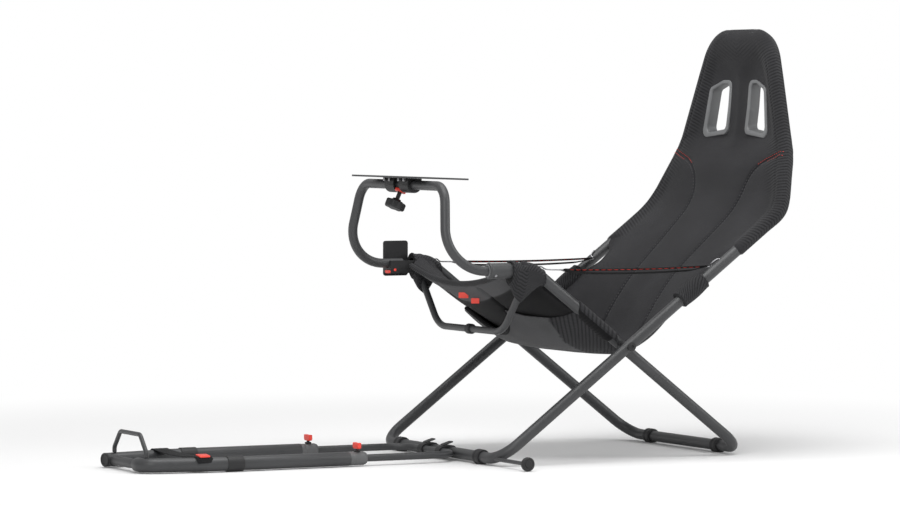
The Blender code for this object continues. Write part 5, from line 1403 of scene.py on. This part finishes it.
class WheelPlate(bpy.types.Operator):
    """Wheel plate, its clamp with bolts, the red lock ring and the star knob"""

    bl_idname = "racing_seat.wheel_plate"
    bl_label = "Wheel plate"

    def execute(self, context):
        keep_node("wheel_plate", "plate", 0.0007)
        for node in ("left_saddle", "right_saddle", "left_clamp_cap", "right_clamp_cap"):
            keep_node(node, "black", 0.0012)
        axis = np.array(PLATE_AXIS)
        cos, sin = math.cos(PLATE_TILT), math.sin(PLATE_TILT)
        turn = np.array([[1, 0, 0], [0, cos, -sin], [0, sin, cos]])
        head = soft_profile([(0.0, 0.0001), (0.0, 0.0042), (0.0070, 0.0042), (0.0078, 0.0034),
                             (0.0078, 0.0001)], 0.0003)
        for number, a in enumerate((-0.050, -0.024, 0.024, 0.050)):
            name = f"plate_nut_{number}"
            spot = axis + turn @ np.array((a, -0.0225, 0.0153))
            grid = turned_grid(head, spot, turn @ np.array((0.0, 0.0, -1.0)), 6)
            add_grid(name, grid, "steel", "wheel_plate", ())
        way = np.array((0.0, -math.sin(KNOB_LEAN), -math.cos(KNOB_LEAN)))
        self.red_ring(axis, way)
        self.star_knob(axis, way)
        return {"FINISHED"}

    @staticmethod
    def red_ring(axis, way):
        """Lock ring, its widest part notched all round."""
        ring = soft_profile([(0.0118, 0.0105), (0.0118, 0.0122), (0.0130, 0.0130), (0.0176, 0.0130),
                             (0.0188, 0.0120), (0.0188, 0.0062), (0.0170, 0.0060)], 0.0005)
        middle = (axis + ring[:, :1] * way)[:, None]
        notch = np.where(ring[:, 1:] > 0.0125, 1 - 0.05 * (np.arange(96) % 6 < 2), 1.0)
        grid = middle + (turned_grid(ring, axis, way, 96) - middle) * notch[..., None]
        add_grid("red_lock_ring", grid, "red", "wheel_plate", ("lock_ring",), ring=True)

    @staticmethod
    def star_knob(axis, way):
        """Knob on its stem: its head has seven lobes, 0.98 + 0.09 cos 7 t."""
        knob = soft_profile([(0.0150, 0.0001), (0.0150, 0.0049), (0.0350, 0.0049), (0.0360, 0.0095),
                             (0.0395, 0.0110), (0.0415, 0.0205), (0.0435, 0.0228), (0.0560, 0.0228),
                             (0.0590, 0.0205), (0.0598, 0.0140), (0.0592, 0.0001)], 0.0009)
        t = np.linspace(0, 2 * np.pi, 70, endpoint=False)
        part = ease((knob[:, 1] - 0.010) / 0.008)[:, None]
        lobes = 1 + part * (0.09 * np.cos(7 * t) - 0.02)
        middle = (axis + knob[:, :1] * way)[:, None]
        grid = middle + (turned_grid(knob, axis, way, 70) - middle) * lobes[..., None]
        add_grid("star_knob", grid, "black", "clamp_knob", ("clamp_knob",))


# Pedal frame.


class PedalFrame(bpy.types.Operator):
    """Sliding pedal frame: bent bar, rails, collars, bands, foot hoop, heel strap, wing screws and hooks"""

    bl_idname = "racing_seat.pedal_frame"
    bl_label = "Pedal frame"

    def execute(self, context):
        bar = bent_path(both_sides([(RAIL_X, -0.790, RAIL_Z), (RAIL_X, -0.35276, RAIL_Z)]), [0.055, 0.055])
        add_grid("slider_bar", tube_grid(bar, SLIDER_R), "tube", "pedal_slider", ("pedal_slider",))
        straight = [(RAIL_X, RAIL_BEND_Y, RAIL_Z), (RAIL_X, RAIL_REAR_Y, RAIL_Z)]
        left = bent_path([(0.055, CROSS_RAIL_Y, RAIL_Z), (0.095, CROSS_RAIL_Y, RAIL_Z), *straight],
                         [0.030, 0.12])
        right = bent_path([RAIL_CAP, *mirrored(straight)], [0.12])
        cross = np.array([(-0.0764, CROSS_RAIL_Y, RAIL_Z), (0.0547, CROSS_RAIL_Y, RAIL_Z)])
        wire = [(0.086, 0.0336), (0.086, 0.0456), (0.051, 0.0836), (-0.0619, 0.0836), (-0.0969, 0.0456),
                (-0.0969, 0.0336)]
        hoop = bent_path([(x, FOOT_HOOP_Y, z) for x, z in wire], [0.012, 0.018, 0.018, 0.012])
        for name, path, radius, node in (("left_rail_tube", left, RAIL_R, "left_rail"),
                                         ("right_rail_tube", right, RAIL_R, "right_rail"),
                                         ("cross_rail_tube", cross, CROSS_RAIL_R, "cross_rail"),
                                         ("foot_hoop", hoop, FOOT_HOOP_R, "pedal_hoop")):
            add_grid(name, tube_grid(path, radius), "tube", "pedal_rail", (node,))
        collar = soft_profile([(0.0, 0.0086), (0.0, 0.0146), (0.0015, 0.01525), (0.009, 0.01525),
                               (0.010, 0.0148), (0.012, 0.0148), (0.013, 0.01525), (0.036, 0.01525),
                               (0.042, 0.0130), (0.042, 0.0086)], 0.0006)
        band = soft_profile([(0.0, 0.0159), (0.0, 0.0170), (0.001, 0.01755), (0.039, 0.01755),
                             (0.040, 0.0170), (0.040, 0.0159)], 0.0005)
        for side, sign in SIDES:
            add_grid(f"{side}_collar_sleeve",
                     turned_grid(collar, (sign * RAIL_X, COLLAR_Y, RAIL_Z), (0, 1, 0)), "light",
                     "pedal_rail", (f"{side}_collar",), ring=True)
            grid = turned_grid(band, (sign * RAIL_X, BAND_Y, RAIL_Z), (0, 1, 0))
            grid[..., 2] = np.maximum(grid[..., 2], 0.0)
            add_grid(f"{side}_rubber_band", grid, "black", "pedal_rail", (f"{side}_band",),
                     ring=True)
            self.screw(side, sign)
            keep_node(f"{side}_rail_hook", "black", 0.0009)
            tongue = rounded_outline([(-0.011, -0.006), (0.011, -0.006), (0.011, 0.020), (-0.011, 0.020)],
                                     0.004)
            spot, way = (sign * 0.045, -0.345, 0.0340), unit((0.0, 0.95, 0.30))
            grid = prism_grid(tongue, -0.0011, 0.0011, spot, (1, 0, 0), way, 0.0006)
            add_grid(f"{side}_hook_tongue", grid, "black", "pedal_slider", ())
        way = np.array((math.sin(RAIL_CAP_LEAN), -math.cos(RAIL_CAP_LEAN), 0.0))
        cap = soft_profile([(0.0001, 0.0001), (0.0001, 0.0152), (0.0010, 0.01575), (0.0028, 0.01575),
                            (0.0040, 0.0146), (0.0040, 0.0112), (0.0028, 0.0106), (0.0028, 0.0001)],
                           0.0005)
        add_grid("rail_end_disc", turned_grid(cap, RAIL_CAP, way), "black", "pedal_rail",
                 ("rail_end_cap",))
        self.heel_strap()
        self.stabiliser()
        return {"FINISHED"}

    @staticmethod
    def screw(side, sign):
        """Wing screw: a washer and stem below a flat wing whose top edge is dished."""
        spot = np.array((sign * RAIL_X, SCREW_Y, 0.0))
        stem = soft_profile([(0.0266, 0.0001), (0.0266, 0.0030), (0.0330, 0.0030), (0.0330, 0.0075),
                             (0.0350, 0.0078), (0.0362, 0.0066), (0.0362, 0.0036), (0.0402, 0.0034),
                             (0.0402, 0.0001)], 0.0004)
        outline = rounded_outline([(-0.0105, 0.0395), (0.0105, 0.0395), (0.0142, 0.0420), (0.0142, 0.0535),
                                   (0.0, 0.0528), (-0.0142, 0.0535), (-0.0142, 0.0420)], 0.0016)
        grid = prism_grid(outline, -0.0045, 0.0045, spot, (1, 0, 0), (0, 0, 1), 0.0014)
        add_grid(f"{side}_wing", grid, "red", f"{side}_rail_screw", (f"{side}_rail_screw",))
        add_grid(f"{side}_screw_stem", turned_grid(stem, spot, (0, 0, 1), 28), "black",
                 f"{side}_rail_screw", ())

    @staticmethod
    def heel_strap():
        """Strap across the rails: it hangs by 4 s u (1 - u) and turns down over them, with a red tab."""
        arc = np.linspace(0.0, math.radians(75), 8)
        x, z = HEEL_HALF + 0.0175 * np.sin(arc), RAIL_Z + HEEL_RISE * np.cos(arc)
        over = np.column_stack([x, np.full_like(x, HEEL_Y), z])
        u = np.linspace(0.0, 1.0, 33)[:-1]
        x, z = -HEEL_HALF + 2 * HEEL_HALF * u, RAIL_Z + HEEL_RISE - 4 * 0.006 * u * (1 - u)
        flat = np.column_stack([x, np.full_like(x, HEEL_Y), z])
        path = np.concatenate([mirrored(over)[:0:-1], flat, over])
        outline = box_outline(HEEL_WIDTH, WEBBING_THICK, 0.0009, 0.8)
        grid = swept(path, outline, 1.0, (0, 1, 0))
        add_grid("heel_webbing", grid, "webbing", "pedal_rail", ("heel_strap",))
        tab = box_outline(0.026, 0.026, 0.003)
        flat_tab = prism_grid(tab, 0.0372, 0.0402, (HEEL_HALF, HEEL_Y, 0.0), (1, 0, 0), (0, 1, 0), 0.0009)
        bend = flat_tab[..., 0] - HEEL_HALF
        flat_tab[..., 2] -= np.where(bend > 0, bend ** 2 * 22.0, 0.0)
        add_grid("red_pull_tab", flat_tab, "red", "pedal_rail", ("strap_tab",))

    @staticmethod
    def stabiliser():
        """Rod that slides out of the front cross tube, with a ringed disc at its end."""
        rod = np.array([(x, FRONT_Y, BASE_Z) for x in SLIDE_ROD_ENDS])
        add_grid("slide_rod", tube_grid(rod, SLIDE_ROD_R, 24, 0.0006), "tube", "stabiliser",
                 ("stabiliser_rod",))
        disc = soft_profile([(0.4238, 0.0001), (0.4238, 0.0090), (0.4252, 0.0140), (0.4268, 0.01575),
                             (0.4330, 0.01575), (0.4352, 0.0142), (0.4352, 0.0112), (0.4344, 0.0104),
                             (0.4344, 0.0086), (0.4360, 0.0078), (0.4360, 0.0001)], 0.0007)
        add_grid("slide_disc", turned_grid(disc, (0, FRONT_Y, BASE_Z), (1, 0, 0), 48), "black",
                 "stabiliser", ("stabiliser_foot",))


# Panel and run.


OPERATORS = (FrameTubes, Feet, Sling, SeatLining, Pockets, BackLoops, Straps, SeamStitches, Vents,
             WheelBar, WheelPlate, PedalFrame)


class RacingSeatPanel(bpy.types.Panel):
    """Lists the pieces and the finishes of the racing seat"""

    bl_idname = "VIEW3D_PT_racing_seat"
    bl_label = "Racing Seat"
    bl_space_type = "VIEW_3D"
    bl_region_type = "UI"
    bl_category = "Racing Seat"

    def draw(self, context):
        for group in (context.scene.racing_seat_look, context.scene.racing_seat_cloth):
            for key in group.__annotations__:
                self.layout.prop(group, key)
        for operator in OPERATORS + (Stage,):
            self.layout.operator(operator.bl_idname)


FLOOR_HALF = 20.0
FLOOR_Z = -0.0004
LIGHTS = (
    ("overhead", (0.3, 0.0, 3.2), (0.0, 0.1, 0.4), 2.6, 70.0),
    ("front_fill", (2.6, -2.4, 2.0), (0.0, 0.0, 0.4), 1.8, 34.0),
    ("rear_fill", (1.8, 2.8, 1.9), (0.0, 0.1, 0.5), 1.6, 30.0),
)
CAMERA_PLACE = (8.8552, -4.5264, 0.8342)
CAMERA_TARGET = (-0.06, 0.01606, 0.4727)
CAMERA_LENS_MM = 173.08
CAMERA_SENSOR_MM = 36.0


class Stage(bpy.types.Operator):
    """Pale floor, soft lights, white surroundings and the camera"""

    bl_idname = "racing_seat.stage"
    bl_label = "Stage"

    def execute(self, context):
        scene = context.scene
        floor_mesh = bpy.data.meshes.new("floor")
        t = np.linspace(-FLOOR_HALF, FLOOR_HALF, 3)
        x, y = np.meshgrid(t, t)
        points = np.stack([x, y, np.full_like(x, FLOOR_Z)], axis=-1).reshape(-1, 3)
        floor_mesh.from_pydata(points.tolist(), [], grid_quads(3, 3, False, False).tolist())
        floor = bpy.data.objects.new("floor", floor_mesh)
        scene.collection.objects.link(floor)
        floor_mesh.materials.append(self.floor_material())
        world = bpy.data.worlds.new("soft_white")
        world.use_nodes = True
        scene.world = world
        tree = world.node_tree
        back = tree.nodes["Background"]
        seen = add_node(tree, "ShaderNodeLightPath").outputs["Is Camera Ray"]
        level = calc(tree, "MULTIPLY_ADD", seen, 0.45, 0.55)
        back.inputs["Color"].default_value = (1.0, 1.0, 1.0, 1.0)
        tree.links.new(level, back.inputs["Strength"])
        for name, place, target, size, power in LIGHTS:
            lamp = bpy.data.lights.new(name, "AREA")
            lamp.energy, lamp.size = power, size
            light = bpy.data.objects.new(name, lamp)
            self.aim(light, place, target)
            scene.collection.objects.link(light)
        lens = bpy.data.cameras.new("photo_camera")
        lens.lens, lens.sensor_width, lens.sensor_fit = CAMERA_LENS_MM, CAMERA_SENSOR_MM, "HORIZONTAL"
        lens.clip_end = 100.0
        camera = bpy.data.objects.new("photo_camera", lens)
        self.aim(camera, CAMERA_PLACE, CAMERA_TARGET)
        scene.collection.objects.link(camera)
        scene.camera = camera
        scene.view_settings.view_transform = "Standard"
        return {"FINISHED"}

    @staticmethod
    def aim(thing, place, target):
        """Puts a light or the camera at place, looking at target, upright."""
        way = Vector(target) - Vector(place)
        thing.location = place
        thing.rotation_euler = way.to_track_quat("-Z", "Y").to_euler()

    @staticmethod
    def floor_material():
        """Pale floor that keeps the shadows near the object and turns plain white further out."""
        material, tree, shader = start_material("pale_floor",
                                                {"Roughness": 0.9, "Specular IOR Level": 0.1})
        shader.inputs["Base Color"].default_value = (0.86, 0.86, 0.86, 1.0)
        place = add_node(tree, "ShaderNodeTexCoord").outputs["Object"]
        distance = add_node(tree, "ShaderNodeVectorMath", {0: place}, operation="LENGTH").outputs["Value"]
        reach = {"Value": distance, "From Min": 0.9, "From Max": 2.4}
        far = add_node(tree, "ShaderNodeMapRange", reach, interpolation_type="SMOOTHSTEP")
        white = add_node(tree, "ShaderNodeEmission", {"Color": (1.0, 1.0, 1.0, 1.0), "Strength": 1.0})
        mix = add_node(tree, "ShaderNodeMixShader",
                       {0: far.outputs[0], 1: shader.outputs[0], 2: white.outputs[0]})
        tree.links.new(mix.outputs[0], tree.nodes["Material Output"].inputs["Surface"])
        return material


CLASSES = (RacingSeatLook, RacingSeatCloth) + OPERATORS + (Stage, RacingSeatPanel)


def register():
    for kind in CLASSES:
        bpy.utils.register_class(kind)
    bpy.types.Scene.racing_seat_look = PointerProperty(type=RacingSeatLook)
    bpy.types.Scene.racing_seat_cloth = PointerProperty(type=RacingSeatCloth)


def unregister():
    del bpy.types.Scene.racing_seat_look, bpy.types.Scene.racing_seat_cloth
    for kind in reversed(CLASSES):
        bpy.utils.unregister_class(kind)


def main():
    register()
    bpy.ops.racing_seat.frame_tubes()
    bpy.ops.racing_seat.feet()
    bpy.ops.racing_seat.sling()
    bpy.ops.racing_seat.lining()
    bpy.ops.racing_seat.pockets()
    bpy.ops.racing_seat.back_loops()
    bpy.ops.racing_seat.straps()
    bpy.ops.racing_seat.seam_stitches()
    bpy.ops.racing_seat.vents()
    bpy.ops.racing_seat.wheel_bar()
    bpy.ops.racing_seat.wheel_plate()
    bpy.ops.racing_seat.pedal_frame()
    bpy.ops.racing_seat.stage()


if __name__ == "__main__":
    main()
